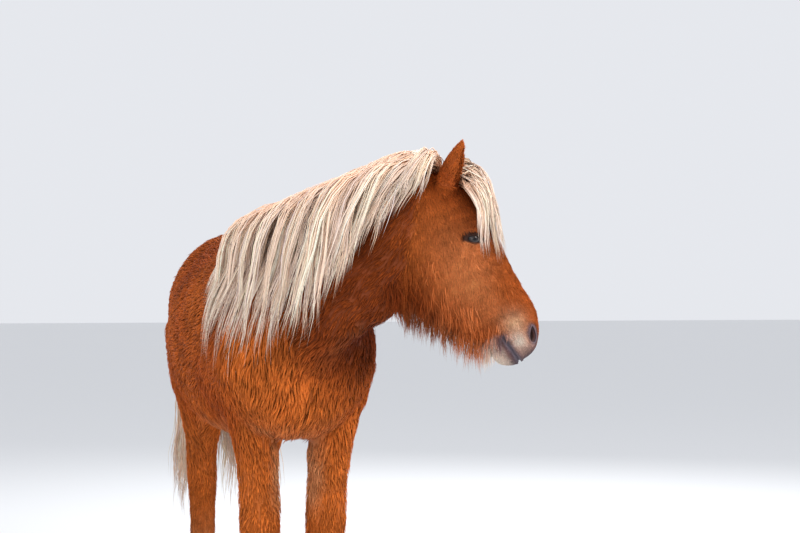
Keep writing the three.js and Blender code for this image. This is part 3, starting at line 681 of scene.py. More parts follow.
def face_washes(where: Region, fine: Array) -> list[tuple[Array, Array]]:
    """Return the colours that lie on the face and ears over those of the body.

    Args:
        where: Regions and places on the head.
        fine: A small wavering from 0 to 1.

    Returns:
        Each colour and its share at each point, in the order that they are laid.
    """
    head, along, rise, aside = where.head, where.along, where.rise, np.abs(where.side)
    forehead = smooth(-30, 40, rise) * smooth(330, 200, along) * smooth(100, 60, rise)
    ears = smooth(0, 35, rise) * smooth(115, 85, along) * smooth(40, 60, aside)
    throat = smooth(-165, -235, rise) * smooth(520, 420, along)
    ridge = smooth(300, 430, along) * smooth(-70, 0, rise)
    front = smooth(566, 598, along + 0.15 * (rise + 60)) * smooth(14, -16, rise)
    chin = smooth(496, 536, along) * smooth(MOUTH_RISE - 6, MOUTH_RISE - 24, rise)
    line = where.above_mouth()
    lips = np.exp(-((line / np.where(line > 0, 14, 24)) ** 2)) * smooth(500, 530, along)
    from_eye, above_eye = along - RIM_PLACE[0], rise - RIM_PLACE[1]
    long = from_eye * RIM_TILT[0] + above_eye * RIM_TILT[1]
    short = above_eye * RIM_TILT[0] - from_eye * RIM_TILT[1]
    rim = np.hypot(long / RIM_SIZE[0], short / RIM_SIZE[1])
    nostril = np.hypot((along - NOSTRIL_ALONG) / 34, (rise - NOSTRIL_RISE) / 22)
    return [
        (DARK_CHESTNUT_AND_SHADE, head * (0.08 + 0.55 * forehead)),
        (BRIGHT_CHESTNUT, 0.26 * ears),
        (CHEEK, head * 0.85 * CHEEK_SPOT.share(where)),
        (DARK_CHESTNUT_AND_SHADE, head * 0.5 * throat),
        (NOSE_RIDGE, head * 0.8 * ridge),
        (NOSE_LIGHT, head * (0.6 + 0.3 * fine) * MUZZLE_SPOT.share(where)),
        (MUZZLE, head * 0.85 * front),
        (CHIN_WHITE, head * (0.85 + 0.15 * fine) * LIP_SPOT.share(where)),
        (CHIN_WHITE, head * (0.75 + 0.2 * smooth(-130, -150, rise)) * chin),
        (LIP_GREY, head * np.maximum(lips, 0.8 * smooth(596, 612, along))),
        (LID_DARK, head * 0.95 * smooth(1.1, 0.75, rim) * (aside > 60)),
        (LIP_GREY, head * 0.9 * smooth(1.35, 0.8, nostril) * smooth(24, 44, aside)),
    ]


class Surface(Enum):
    """The kinds of surface on the animal."""

    SKIN = "skin"
    COAT = "coat_hair"
    MANE = "long_hair"
    EYE = "eye"
    HOOF = "hoof"
    FLOOR = "floor"


@dataclass
class Shading:
    """A new material, with short ways to add, set and link its nodes."""

    name: str
    settings: dict[str, object]
    made: Material = field(init=False)
    shader: Node = field(init=False)

    def __post_init__(self) -> None:
        """Make the material with its main shader."""
        self.made = bpy.data.materials.new(self.name)
        self.made.use_nodes = True
        self.shader = self.made.node_tree.nodes["Principled BSDF"]
        self.fill(self.shader, self.settings)

    @staticmethod
    def fill(node: Node, values: dict[str, object]) -> None:
        """Set constant values straight on a node's sockets."""
        for socket, value in values.items():
            node.inputs[socket].default_value = value

    def add(self, kind: str, values: dict[str, object]) -> Node:
        """Add a node.

        Args:
            kind: Its type, without the ShaderNode before it.
            values: The constant values of its sockets.

        Returns:
            The node.
        """
        node = self.made.node_tree.nodes.new(f"ShaderNode{kind}")
        self.fill(node, values)
        return node

    def link(self, source: Node, output: str, target: Node, entry: str | int) -> None:
        """Link one node's output to another's input."""
        self.made.node_tree.links.new(source.outputs[output], target.inputs[entry])

    def noise(self, scale: float, detail: float, stretch: tuple | None = None) -> Node:
        """Add noise laid out in the object's own space.

        Args:
            scale: Its scale.
            detail: Its detail.
            stretch: The scale along each axis, where it is drawn out.

        Returns:
            The noise.
        """
        place, output = self.add("TexCoord", {}), "Object"
        if stretch is not None:
            mapping = self.add("Mapping", {"Scale": stretch})
            self.link(place, output, mapping, "Vector")
            place, output = mapping, "Vector"
        noise = self.add("TexNoise", {"Scale": scale, "Detail": detail})
        self.link(place, output, noise, "Vector")
        return noise

    def bump(self, noise: Node, strength: float, distance: float) -> None:
        """Raise the surface by noise.

        Args:
            noise: The noise.
            strength: How strongly.
            distance: How far, in metres.
        """
        bump = self.add("Bump", {"Strength": strength, "Distance": distance})
        self.link(noise, "Fac", bump, "Height")
        self.link(bump, "Normal", self.shader, "Normal")

    def tint(self, noise: Node, dark: float, bright: float) -> None:
        """Colour the surface by its Markings, shaded by noise.

        Args:
            noise: The noise.
            dark: Least share of the colour.
            bright: Greatest share of the colour.
        """
        colour = self.add("Attribute", {})
        colour.attribute_name = "Markings"
        shade = self.add("MapRange", {"To Min": dark, "To Max": bright})
        self.link(noise, "Fac", shade, "Value")
        tinted = self.add("VectorMath", {})
        tinted.operation = "SCALE"
        self.link(colour, "Color", tinted, 0)
        self.link(shade, "Result", tinted, "Scale")
        self.link(tinted, "Vector", self.shader, "Base Color")


@dataclass(frozen=True)
class HairFinish:
    """Coat or mane: the colour of its own attribute, with fine streaks."""

    name: str
    roughness: float
    specular: float
    streak: float

    def material(self) -> Material:
        """Make the material.

        Returns:
            The finished material.
        """
        shading = Shading(self.name, {"Roughness": self.roughness, "Specular IOR Level": self.specular})
        shading.tint(shading.noise(self.streak, 3.0), 0.78, 1.18)
        return shading.made


@dataclass(frozen=True)
class SkinFinish:
    """Skin under the coat: the same markings, with the bump of flat short hair and wrinkles."""

    name: str
    roughness: float
    hair_scale: float
    bump: float

    def material(self) -> Material:
        """Make the material.

        Returns:
            The finished material.
        """
        shading = Shading(self.name, {"Roughness": self.roughness, "Specular IOR Level": 0.2})
        hair = shading.noise(self.hair_scale, 4.0)
        shading.bump(hair, self.bump, 0.002)
        shading.tint(hair, 0.6, 1.0)
        return shading.made


@dataclass(frozen=True)
class EyeFinish:
    """A wet, dark brown eye: the iris and pupil come from its own attribute."""

    name: str
    roughness: float
    specular: float
    wet: float
    wet_roughness: float

    def material(self) -> Material:
        """Make the material.

        Returns:
            The finished material.
        """
        shading = Shading(self.name, {"Roughness": self.roughness, "Specular IOR Level": self.specular})
        shading.fill(shading.shader, {"Coat Weight": self.wet, "Coat Roughness": self.wet_roughness})
        colour = shading.add("Attribute", {})
        colour.attribute_name = "Markings"
        shading.link(colour, "Color", shading.shader, "Base Color")
        return shading.made


@dataclass(frozen=True)
class HoofFinish:
    """Hoof horn, faintly ringed and streaked from the coronet down."""

    name: str
    roughness: float
    dark: Array
    light: Array
    span: tuple[float, float] = (0.3, 0.75)
    stretch: tuple[float, float, float] = (220.0, 220.0, 14.0)

    def material(self) -> Material:
        """Make the material.

        Returns:
            The finished material.
        """
        shading = Shading(self.name, {"Roughness": self.roughness})
        streaks = shading.noise(1.0, 4.0, self.stretch)
        ramp = shading.add("ValToRGB", {})
        for stop, colour, position in zip(ramp.color_ramp.elements, (self.dark, self.light), self.span):
            stop.color = (*colour, 1.0)
            stop.position = position
        shading.link(streaks, "Fac", ramp, "Fac")
        shading.link(ramp, "Color", shading.shader, "Base Color")
        shading.bump(streaks, 0.35, 0.001)
        return shading.made


@dataclass(frozen=True)
class FloorFinish:
    """The plain pale floor."""

    name: str
    roughness: float
    colour: Array

    def material(self) -> Material:
        """Return the finished material."""
        return Shading(self.name, {"Base Color": (*self.colour, 1.0), "Roughness": self.roughness}).made


def all_materials() -> dict[Surface, Material]:
    """Make one material for each kind of surface.

    Returns:
        The materials by their surface.
    """
    finishes = {
        Surface.SKIN: SkinFinish("horse_skin", 0.7, 260.0, 0.6),
        Surface.COAT: HairFinish("winter_coat", 0.7, 0.06, 160.0),
        Surface.MANE: HairFinish("flaxen_mane", 0.5, 0.25, 220.0),
        Surface.EYE: EyeFinish("dark_eye", 0.12, 0.25, 0.45, 0.03),
        Surface.HOOF: HoofFinish("hoof_horn", 0.5, HORN_DARK, HORN_LIGHT),
        Surface.FLOOR: FloorFinish("pale_floor", 0.9, FLOOR_PALE),
    }
    return {surface: finish.material() for surface, finish in finishes.items()}


def deselect() -> None:
    """Leave nothing selected."""
    bpy.ops.object.select_all(action="DESELECT")


def make_active(piece: Piece) -> None:
    """Select one object only and make it the active one.

    Args:
        piece: The object.
    """
    deselect()
    piece.select_set(True)
    bpy.context.view_layer.objects.active = piece


def new_piece(name: str, mesh: bpy.types.Mesh) -> Piece:
    """Put a mesh into the scene.

    Args:
        name: The object's name.
        mesh: Its mesh.

    Returns:
        The object.
    """
    piece = bpy.data.objects.new(name, mesh)
    bpy.context.collection.objects.link(piece)
    return piece


def from_faces(name: str, points: Array, faces: Faces) -> Piece:
    """Make an object of faces of any size.

    Args:
        name: The object's name.
        points: Points in metres.
        faces: Faces as their points' numbers.

    Returns:
        The object.
    """
    mesh = bpy.data.meshes.new(name)
    mesh.from_pydata(points.tolist(), [], faces)
    return new_piece(name, mesh)


def from_triangles(name: str, points: Array, triangles: Array) -> Piece:
    """Make an object of many triangles, shaded smooth.

    Args:
        name: The object's name.
        points: Points in metres.
        triangles: The numbers of each triangle's points.

    Returns:
        The object.
    """
    mesh = bpy.data.meshes.new(name)
    mesh.vertices.add(len(points))
    mesh.vertices.foreach_set("co", points.astype(np.float32).ravel())
    mesh.loops.add(triangles.size)
    mesh.loops.foreach_set("vertex_index", triangles.astype(np.int32).ravel())
    mesh.polygons.add(len(triangles))
    mesh.polygons.foreach_set("loop_start", np.arange(0, triangles.size, 3, dtype=np.int32))
    mesh.polygons.foreach_set("use_smooth", np.ones(len(triangles), dtype=bool))
    mesh.update(calc_edges=True)
    return new_piece(name, mesh)


def paint(piece: Piece, colours: Array) -> None:
    """Write colours to the points of a piece as its Markings.

    Args:
        piece: The piece.
        colours: Linear colours, one row for each point.
    """
    layer = piece.data.color_attributes.new("Markings", "FLOAT_COLOR", "POINT")
    full = np.ones((len(colours), 4), np.float32)
    full[:, :3] = np.clip(colours, 0, 1)
    layer.data.foreach_set("color", full.ravel())


def join(pieces: list[Piece], name: str) -> Piece:
    """Join pieces into the first of them.

    Args:
        pieces: The pieces.
        name: The name of the whole.

    Returns:
        The whole.
    """
    make_active(pieces[0])
    for piece in pieces:
        piece.select_set(True)
    bpy.ops.object.join()
    pieces[0].name = name
    return pieces[0]


def apply_modifier(piece: Piece, kind: str, **settings: object) -> None:
    """Add a modifier and apply it.

    Args:
        piece: The piece that it changes.
        kind: Its type.
        **settings: Its settings.
    """
    make_active(piece)
    modifier = piece.modifiers.new(kind, kind)
    for key, value in settings.items():
        setattr(modifier, key, value)
    bpy.ops.object.modifier_apply(modifier=modifier.name)


def read_vectors(items: bpy.types.bpy_prop_collection, key: str) -> Array:
    """Read one vector from each item of a mesh.

    Args:
        items: Its points, faces or normals.
        key: The name of the vector.

    Returns:
        One row for each item.
    """
    values = np.empty(len(items) * 3, np.float32)
    items.foreach_get(key, values)
    return values.reshape(-1, 3).astype(float)


def mesh_points(piece: Piece) -> Array:
    """Return the points of a piece's mesh."""
    return read_vectors(piece.data.vertices, "co")


def mesh_normals(piece: Piece) -> Array:
    """Return the normals at a piece's points."""
    return read_vectors(piece.data.vertex_normals, "vector")


def set_points(piece: Piece, points: Array) -> None:
    """Move the points of a piece's mesh."""
    piece.data.vertices.foreach_set("co", points.astype(np.float32).ravel())
    piece.data.update()


def move_smoothly(piece: Piece, rounds: int, **settings: object) -> None:
    """Smooth a piece by moving its points halfway to their neighbours' middle."""
    apply_modifier(piece, "SMOOTH", factor=0.5, iterations=rounds, **settings)


@dataclass
class Shell:
    """A closed surface to ask how far a point lies outside it, in the drawing's millimetres."""

    tree: BVHTree

    @staticmethod
    def of(piece: Piece, drawing: Drawing) -> "Shell":
        """Read a piece's mesh, in the drawing's own frame."""
        faces = [tuple(polygon.vertices) for polygon in piece.data.polygons]
        return Shell(BVHTree.FromPolygons(drawing.back(mesh_points(piece)).tolist(), faces))

    def nearest(self, point: Array) -> tuple[float, Array]:
        """Measure how far a point lies from the surface.

        Args:
            point: The point.

        Returns:
            The height above the surface, below zero inside, and the way out.
        """
        foot, normal, _, gap = self.tree.find_nearest(Vector(point))
        out = np.array(Vector(point) - foot)
        side = 1.0 if out @ np.array(normal) >= 0 else -1.0
        way = out * side / gap if gap > 1.0 else np.array(normal)
        return side * gap, way

    def foot(self, point: Array) -> tuple[Array, Array]:
        """Return the nearest place on the surface and the way out there."""
        foot, normal, _, _ = self.tree.find_nearest(Vector(point))
        return np.array(foot), np.array(normal)


@dataclass
class Slit:
    """An opening in the face with pointed ends, such as between the lids or in a nostril.

    Args:
        centre: Its middle, on the skin or in the eyeball.
        long: The way along it.
        short: The way across it.
        out: The way out.
    """

    centre: Array
    long: Array
    short: Array
    out: Array

    @staticmethod
    def lying(centre: Array, out: Array, tilt: float) -> "Slit":
        """Lay a slit on the face.

        Args:
            centre: Its middle.
            out: The way out.
            tilt: Degrees that it is tilted from the head's length towards its face line.

        Returns:
            The slit.
        """
        long = ALONG * math.cos(math.radians(tilt)) + RISE * math.sin(math.radians(tilt))
        long = unit(long - out * (long @ out))
        short = np.cross(out, long)
        return Slit(centre, long, short if short @ RISE > 0 else -short, out)

    def local(self, points: Array) -> Array:
        """Return points along it, across it and out of it."""
        return (points - self.centre) @ np.stack([self.long, self.short, self.out], axis=1)

    def world(self, *places: Array) -> Array:
        """Turn places along, across and out back into the drawing."""
        return self.centre + np.stack(places, axis=1) @ np.stack([self.long, self.short, self.out])


@dataclass(frozen=True)
class EarShape:
    """How an ear's form is shared out: the whole ear, or the cup pushed out through its open side."""

    share: float
    tall: float
    lift: float
    push: float
    mouth: float


WHOLE_EAR = EarShape(1.0, 1.0, 0.0, 0.0, 1.0)
EAR_CUP = EarShape(0.76, 0.9, 0.03, 0.45, 1.3)
EAR_BASE = (104.0, -17.0, 66.0)
EAR_LENGTH = 154.0
EAR_LEAN = 50.0
EAR_SPLAY = 12.0
EAR_TURN = 20.0
EAR_DEPTH = 1.2
TUBE_SIDES = 10


def ear_base(hand: int) -> Array:
    """Return the middle of an ear's base."""
    return on_head(EAR_BASE[0], EAR_BASE[1], EAR_BASE[2] * hand)


def ear_axis(hand: int) -> Array:
    """Return the way up an ear."""
    up = RISE * math.sin(math.radians(EAR_LEAN)) - ALONG * math.cos(math.radians(EAR_LEAN))
    return unit(up + SIDE * hand * math.sin(math.radians(EAR_SPLAY)))


def ear_form(hand: int, shape: EarShape, grow: float) -> Form:
    """Return an ear, or the cup in it, from the tip down to the root.

    Args:
        hand: 1 for left, -1 for right.
        shape: The whole ear or the cup.
        grow: How far the surface is drawn out, less at the tip.

    Returns:
        The form.
    """
    base, axis, yaw = ear_base(hand), ear_axis(hand), HEAD_YAW + hand * EAR_TURN
    opening = heading(yaw)
    stations = []
    for height, half, depth in EAR_ROWS:
        middle = base + axis * (height * shape.tall + shape.lift) * EAR_LENGTH
        middle = middle + opening * depth * shape.push * EAR_LENGTH
        reach = depth * EAR_LENGTH * shape.share
        top, bottom = middle + opening * reach * shape.mouth, middle - opening * reach
        stations.append(Station(top, bottom, half * EAR_LENGTH * shape.share, yaw))
    return Form.of(stations, [grow * min(1.0, 5 * half) for _, half, _ in EAR_ROWS])


def tube_along(name: str, drawing: Drawing, path: Array, radius: Array, closed: bool) -> Piece:
    """Sweep a round section along a path.

    Args:
        name: The object's name.
        drawing: The drawing's place on the part.
        path: Points in the drawing's millimetres.
        radius: Radius at each point.
        closed: Whether the path's end meets its start.

    Returns:
        The tube.
    """
    count = len(path)
    course = np.roll(path, -1, axis=0) - np.roll(path, 1, axis=0)
    if not closed:
        course[0], course[-1] = path[1] - path[0], path[-1] - path[-2]
    course = unit(course)
    middle = path.mean(axis=0)
    lift = unit(np.cross(path[0] - middle, path[count // 3] - middle))
    across = unit(np.cross(course, lift))
    above = np.cross(across, course)
    turn = (np.arange(TUBE_SIDES) * 2 * math.pi / TUBE_SIDES)[None, :, None]
    ring = across[:, None, :] * np.cos(turn) + above[:, None, :] * np.sin(turn)
    points = (path[:, None, :] + ring * radius[:, None, None]).reshape(-1, 3)
    made = from_faces(name, drawing.place(points), ring_faces(count, TUBE_SIDES, closed))
    make_active(made)
    bpy.ops.object.mode_set(mode="EDIT")
    bpy.ops.mesh.select_all(action="SELECT")
    bpy.ops.mesh.normals_make_consistent(inside=False)
    bpy.ops.object.mode_set(mode="OBJECT")
    return made


# Where the neck and forelegs come out of the chest, and how far the smoothing there reaches
CHEST_MIDDLE = np.array([690, 40, 985])
CHEST_REACH = np.array([260, 300, 170])


@dataclass
class FleshSkin:
    """The one skin: trunk, neck, head, legs, dock and ears, with the face worked into it.

    The depths say how far it lies inside the coat. An eye's or a nostril's half is half its length
    and its open half its height. The voxels are in metres and the tilts in degrees.
    """

    drawing: Drawing
    coat_depth: float = 15.0
    leg_depth: float = 4.0
    head_depth: float = 4.0
    voxel: float = 0.0118
    ear_voxel: float = 0.0029
    eye_radius: float = 20.0
    eye_tilt: float = 49.0
    eye_half: float = 19.2
    eye_open: tuple[float, float] = (12.5, 9.5)
    lid_thick: float = 2.1
    nostril_half: float = 25.0
    nostril_open: float = 11.5
    nostril_flare: float = 0.35
    nostril_tilt: float = -25.0
    nostril_pit: float = 17.0
    mouth_groove: float = 5.0
    eyes: list[Slit] = field(default_factory=list)
    nostrils: list[Slit] = field(default_factory=list)
    skin: Piece = field(init=False)

    def build(self) -> Piece:
        """Make the skin.

        Returns:
            The finished skin object.
        """
        self.skin = self.body()
        self.blend_chest(40)
        self.refine(self.head_faces, 1)
        self.relax(4)
        self.find_slits()
        self.refine(self.feature_faces, 2)
        self.relax(3)
        self.work_face()
        rims = [rim for slit in self.eyes for rim in self.lids(slit)]
        rims += [self.nostril_rim(slit) for slit in self.nostrils]
        ears = [self.ear(hand) for hand in HANDS]
        make_active(join([self.skin, *rims, *ears], "skin"))
        bpy.ops.object.shade_smooth()
        return self.skin

    def leg_growth(self, rows: tuple) -> list[float]:
        """Return how far each station of a leg lies inside its coat, below zero."""
        deeper = self.coat_depth - self.leg_depth
        return [-float(self.leg_depth + deeper * smooth(380, 900, np.array(row[0]))) for row in rows]

    def body(self) -> Piece:
        """Make all fleshy forms into one smooth closed surface.

        Returns:
            The surface.
        """
        dock = Form.of([Station(*row) for row in TAIL[: len(DOCK_GROWTH)]], DOCK_GROWTH)
        tubes = [
            trunk_form(-self.coat_depth).tube(72, 56),
            neck_form(-self.coat_depth).tube(56, 48),
            head_form(-self.head_depth).tube(80, 56),
            dock.tube(24, 20),
        ]
        for hand in HANDS:
            tubes += [leg_form(limb, hand, self.leg_growth(limb.rows)).tube(90, 32) for limb in LIMBS]
        made = [from_faces("flesh", self.drawing.place(points), faces) for points, faces in tubes]
        body = join(made, "skin")
        apply_modifier(body, "REMESH", mode="VOXEL", voxel_size=self.voxel)
        move_smoothly(body, 5)
        return body

    def blend_chest(self, rounds: int) -> None:
        """Smooth away the creases where the neck and forelegs come out of the chest.

        Args:
            rounds: How many times it is smoothed.
        """
        points = self.drawing.back(mesh_points(self.skin))
        near = np.linalg.norm((points - CHEST_MIDDLE) / CHEST_REACH, axis=1)
        group = self.skin.vertex_groups.new(name="chest")
        for index in np.nonzero(near < 1)[0]:
            group.add([int(index)], float(smooth(1.0, 0.6, near[index])), "REPLACE")
        move_smoothly(self.skin, rounds, vertex_group="chest")

    def refine(self, choose: Callable[[Array], Array], times: int) -> None:
        """Divide some faces of the skin.

        Args:
            choose: Picks the faces by their middles.
            times: How many times they are divided.
        """
        for _ in range(times):
            make_active(self.skin)
            bpy.ops.object.mode_set(mode="EDIT")
            bpy.ops.mesh.select_mode(type="FACE")
            bpy.ops.mesh.select_all(action="DESELECT")
            bpy.ops.object.mode_set(mode="OBJECT")
            polygons = self.skin.data.polygons
            polygons.foreach_set("select", choose(self.drawing.back(read_vectors(polygons, "center"))))
            bpy.ops.object.mode_set(mode="EDIT")
            bpy.ops.mesh.subdivide(number_cuts=1, quadcorner="INNERVERT")
            bpy.ops.object.mode_set(mode="OBJECT")

    @staticmethod
    def head_faces(points: Array) -> Array:
        """Choose the faces of the head."""
        return Region.at(points).head > 0.5

    def feature_faces(self, points: Array) -> Array:
        """Choose the faces round the eyes, nostrils and mouth.

        Args:
            points: The middles of the faces.

        Returns:
            Whether each is chosen.
        """
        where = Region.at(points)
        chosen = (where.along > 508) & (np.abs(where.rise - MOUTH_RISE) < 17) & (where.head > 0.5)
        for slits, reach in ((self.eyes, 46), (self.nostrils, 38)):
            for slit in slits:
                chosen |= np.linalg.norm(points - slit.centre, axis=1) < reach
        return chosen

    def relax(self, rounds: int) -> None:
        """Smooth the head's surface after its faces were divided.

        Args:
            rounds: How many times it is smoothed.
        """
        head = Region.at(self.drawing.back(mesh_points(self.skin))).head
        group = self.skin.vertex_groups.get("head") or self.skin.vertex_groups.new(name="head")
        group.add([int(index) for index in np.nonzero(head > 0.4)[0]], 1.0, "REPLACE")
        move_smoothly(self.skin, rounds, vertex_group="head")

    def find_slits(self) -> None:
        """Find where the eyes and nostrils lie."""
        shell = Shell.of(self.skin, self.drawing)
        for hand, side in zip(HANDS, SIDES):
            low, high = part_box(f"eye_{side}")
            centre = self.drawing.back(np.array((low + high) / 2))
            _, out = shell.foot(on_head(EYE_ALONG, EYE_RISE, 104.0 * hand))
            self.eyes.append(Slit.lying(centre, unit(out + SIDE * hand * 0.5), self.eye_tilt))
            foot, out = shell.foot(on_head(NOSTRIL_ALONG, NOSTRIL_RISE, 60.0 * hand))
            self.nostrils.append(Slit.lying(foot, out, self.nostril_tilt))

    def work_face(self) -> None:
        """Draw the sockets, nostrils and mouth into the surface and the lids and lips out of it."""
        points, normals = self.drawing.back(mesh_points(self.skin)), mesh_normals(self.skin)
        for slit in self.eyes:
            points = self.socket(points, slit)
        for slit in self.nostrils:
            places = slit.local(points)
            near = np.abs(places[:, 2]) < 26
            ring = self.nostril_ring(places)
            pit = self.nostril_pit * np.clip(1 - ring**2, 0, 1) ** 0.6 * near
            rim = 3.2 * np.exp(-(((ring - 1.45) / 0.4) ** 2)) * near
            points = points + slit.out * (rim - pit)[:, None]
        set_points(self.skin, self.drawing.place(self.mouth(points, normals)))

    def nostril_ring(self, places: Array) -> Array:
        """Return how far out places in a nostril lie.

        Args:
            places: Points along it, across it and out of it.

        Returns:
            A share for each, 1 being its edge.
        """
        share = places[:, 0] / self.nostril_half
        wide = self.nostril_open * (1.0 + self.nostril_flare * np.clip(share, -1, 1))
        return np.hypot(share, places[:, 1] / wide)

    def socket(self, points: Array, slit: Slit) -> Array:
        """Wrap the lids round an eyeball and open the slit between them.

        Args:
            points: The skin's points.
            slit: The eye, with its centre in the middle of the ball.

        Returns:
            The moved points.
        """
        places = slit.local(points)
        reach = np.linalg.norm(places, axis=1)
        ring = self.almond(places)
        in_front = places[:, 2] > -4
        lid = self.eye_radius + 2.4 - 1.6 * np.exp(-(((ring - 1.75) / 0.18) ** 2))
        wrapped = np.maximum(reach, lid)
        hold = smooth(3.3, 1.5, ring) * in_front * (reach < 60)
        wanted = reach + (wrapped - reach) * hold
        wanted = np.where((ring < 1.0) & in_front & (reach < 40), self.eye_radius - 6.0, wanted)
        moved = places * (wanted / np.maximum(reach, 1e-6))[:, None]
        return slit.world(*moved.T)

    def almond(self, places: Array) -> Array:
        """Return how far out places in an eye lie, 1 being the edge between the lids."""
        tall = np.where(places[:, 1] > 0, *self.eye_open)
        return np.hypot(np.abs(places[:, 0]) / self.eye_half, places[:, 1] / tall)

    def mouth(self, points: Array, normals: Array) -> Array:
        """Press the line of the mouth in between fuller lips.

        Args:
            points: The skin's points.
            normals: The way out at each.

        Returns:
            The moved points.
        """
        where = Region.of(points, normals)
        apart = where.above_mouth()
        on = smooth(MOUTH_CORNER - 8, MOUTH_CORNER + 6, where.along) * (where.head > 0.5)
        groove = -self.mouth_groove * np.exp(-((apart / 2.6) ** 2))
        lips = 2.0 * np.exp(-(((np.abs(apart) - 8) / 4.5) ** 2))
        return points + normals * (on * (groove + lips))[:, None]

    def lids(self, slit: Slit) -> list[Piece]:
        """Make the thick edges of the two lids of an eye.

        Args:
            slit: The eye.

        Returns:
            The upper and the lower edge.
        """
        made = []
        turn = np.linspace(0.0, math.pi, 33)
        along = self.eye_half * 1.04 * np.cos(turn)
        upper, lower = self.eye_open
        for tall, thick in ((upper, self.lid_thick), (-lower, self.lid_thick * 0.75)):
            across = tall * np.sin(turn) ** 1.15
            ball = self.eye_radius + 0.9
            out = np.sqrt(np.maximum(ball**2 - along**2 - across**2, 9.0))
            width = thick * (0.45 + 0.55 * np.sin(turn))
            made.append(tube_along("lid", self.drawing, slit.world(along, across, out), width, False))
        return made

    def nostril_rim(self, slit: Slit) -> Piece:
        """Make the soft rim of a nostril.

        Args:
            slit: The nostril.

        Returns:
            The rim.
        """
        turn = np.linspace(0.0, 2 * math.pi, 48, endpoint=False)
        across = self.nostril_open * (1.0 + self.nostril_flare * np.cos(turn)) * np.sin(turn)
        path = slit.world(self.nostril_half * np.cos(turn), across, np.full_like(turn, -0.2))
        return tube_along("rim", self.drawing, path, 2.2 + 0.8 * np.cos(turn - 2.2), True)

    def inner_shade(self, points: Array) -> Array:
        """Return how bright the skin is inside the nostrils and sockets.

        Args:
            points: The skin's points.

        Returns:
            A share for each point, 1 being as bright as outside.
        """
        bright = np.ones(len(points))
        for slit in self.nostrils:
            places = slit.local(points)
            inside = smooth(1.0, 0.7, self.nostril_ring(places)) * (np.abs(places[:, 2]) < 32)
            bright = np.minimum(bright, 1 - 0.88 * inside)
        for slit in self.eyes:
            bright = np.where(np.linalg.norm(points - slit.centre, axis=1) < self.eye_radius, 0.2, bright)
        return bright

    def ear(self, hand: int) -> Piece:
        """Make one ear with its cup hollowed out.

        Args:
            hand: 1 for left, -1 for right.

        Returns:
            The ear.
        """
        whole, cup = ear_form(hand, WHOLE_EAR, -EAR_DEPTH), ear_form(hand, EAR_CUP, 0.0)
        tubes = (whole.tube(44, 32), cup.tube(36, 28))
        outer, cup = (from_faces("ear", self.drawing.place(points), faces) for points, faces in tubes)
        apply_modifier(outer, "BOOLEAN", operation="DIFFERENCE", object=cup, solver="EXACT")
        bpy.data.objects.remove(cup, do_unlink=True)
        apply_modifier(outer, "REMESH", mode="VOXEL", voxel_size=self.ear_voxel)
        move_smoothly(outer, 7)
        return outer


@dataclass
class EyeBall:
    """A dark, wet eyeball with a bulging cornea, a faint iris and a level oval pupil."""

    drawing: Drawing
    radius: float = 19.6
    bulge: float = 1.4
    iris: float = 12.5
    pupil: tuple[float, float] = (7.0, 4.0)

    def build(self, slit: Slit, name: str) -> Piece:
        """Make the ball that looks out of one pair of lids.

        Args:
            slit: The opening between the lids.
            name: The object's name.

        Returns:
            The ball, painted.
        """
        centre = self.drawing.place(slit.centre)
        turn = Vector(slit.out).to_track_quat("Z", "Y").to_euler()
        deselect()
        bpy.ops.mesh.primitive_uv_sphere_add(
            segments=56, ring_count=64, radius=self.radius / 1000, location=centre, rotation=turn
        )
        ball = bpy.context.active_object
        ball.name = name
        bpy.ops.object.transform_apply(location=True, rotation=True, scale=True)
        bpy.ops.object.shade_smooth()
        points = self.drawing.back(mesh_points(ball))
        places = slit.local(points)
        from_axis, front = np.hypot(places[:, 0], places[:, 1]), places[:, 2] > 0
        swell = self.bulge * smooth(13.5, 6.0, from_axis) * front
        set_points(ball, self.drawing.place(points + slit.out * swell[:, None]))
        level = unit(np.cross(UP, slit.out))
        above = np.cross(slit.out, level)
        apart = points - slit.centre
        oval = np.hypot(apart @ level / self.pupil[0], apart @ above / self.pupil[1])
        colour = mix(EYEBALL_DARK, IRIS, smooth(self.iris, self.iris - 2, from_axis) * front)
        paint(ball, mix(colour, PUPIL, smooth(1.15, 0.9, oval) * front))
        return ball


@dataclass
class Hoof:
    """A hoof cut off slanting at the coronet, with the faint rings of its growth."""

    drawing: Drawing
    rings: int = 44
    sides: int = 56
    ring_depth: float = 0.5
    inset: float = 0.6

    def build(self, limb: Limb, hand: int, name: str) -> Piece:
        """Make one hoof.

        Args:
            limb: The pair of legs that it belongs to.
            hand: 1 for left, -1 for right.
            name: The object's name.

        Returns:
            The hoof.
        """
        middle = hand * limb.hoof_aside + limb.lean
        stations = [
            Station((front, middle, height), (back, middle, height), half)
            for height, front, back, half in limb.hoof
        ]
        points, faces = Form.of(stations, -self.inset).tube(self.rings, self.sides)
        front, back = limb.hoof[-1][1:3]
        forward = np.clip((points[:, 0] - back) / (front - back), 0, 1)
        coronet = CORONET_HEEL + (CORONET_TOE - CORONET_HEEL) * forward
        share = points[:, 2] / limb.hoof[0][0]
        points[:, 2] = share * coronet
        axis = points[:, :2] - np.array([(front + back) / 2, middle])
        ring = np.sin(share * 46) * 0.6 + np.sin(share * 71 + 1) * 0.4
        worn = -2.4 * smooth(0.05, 0.0, share)
        points[:, :2] += unit(axis) * (self.ring_depth * (ring - 1) + worn)[:, None]
        hoof = from_faces(name, self.drawing.place(points), faces)
        make_active(hoof)
        bpy.ops.object.shade_smooth_by_angle(angle=math.radians(50))
        return hoof


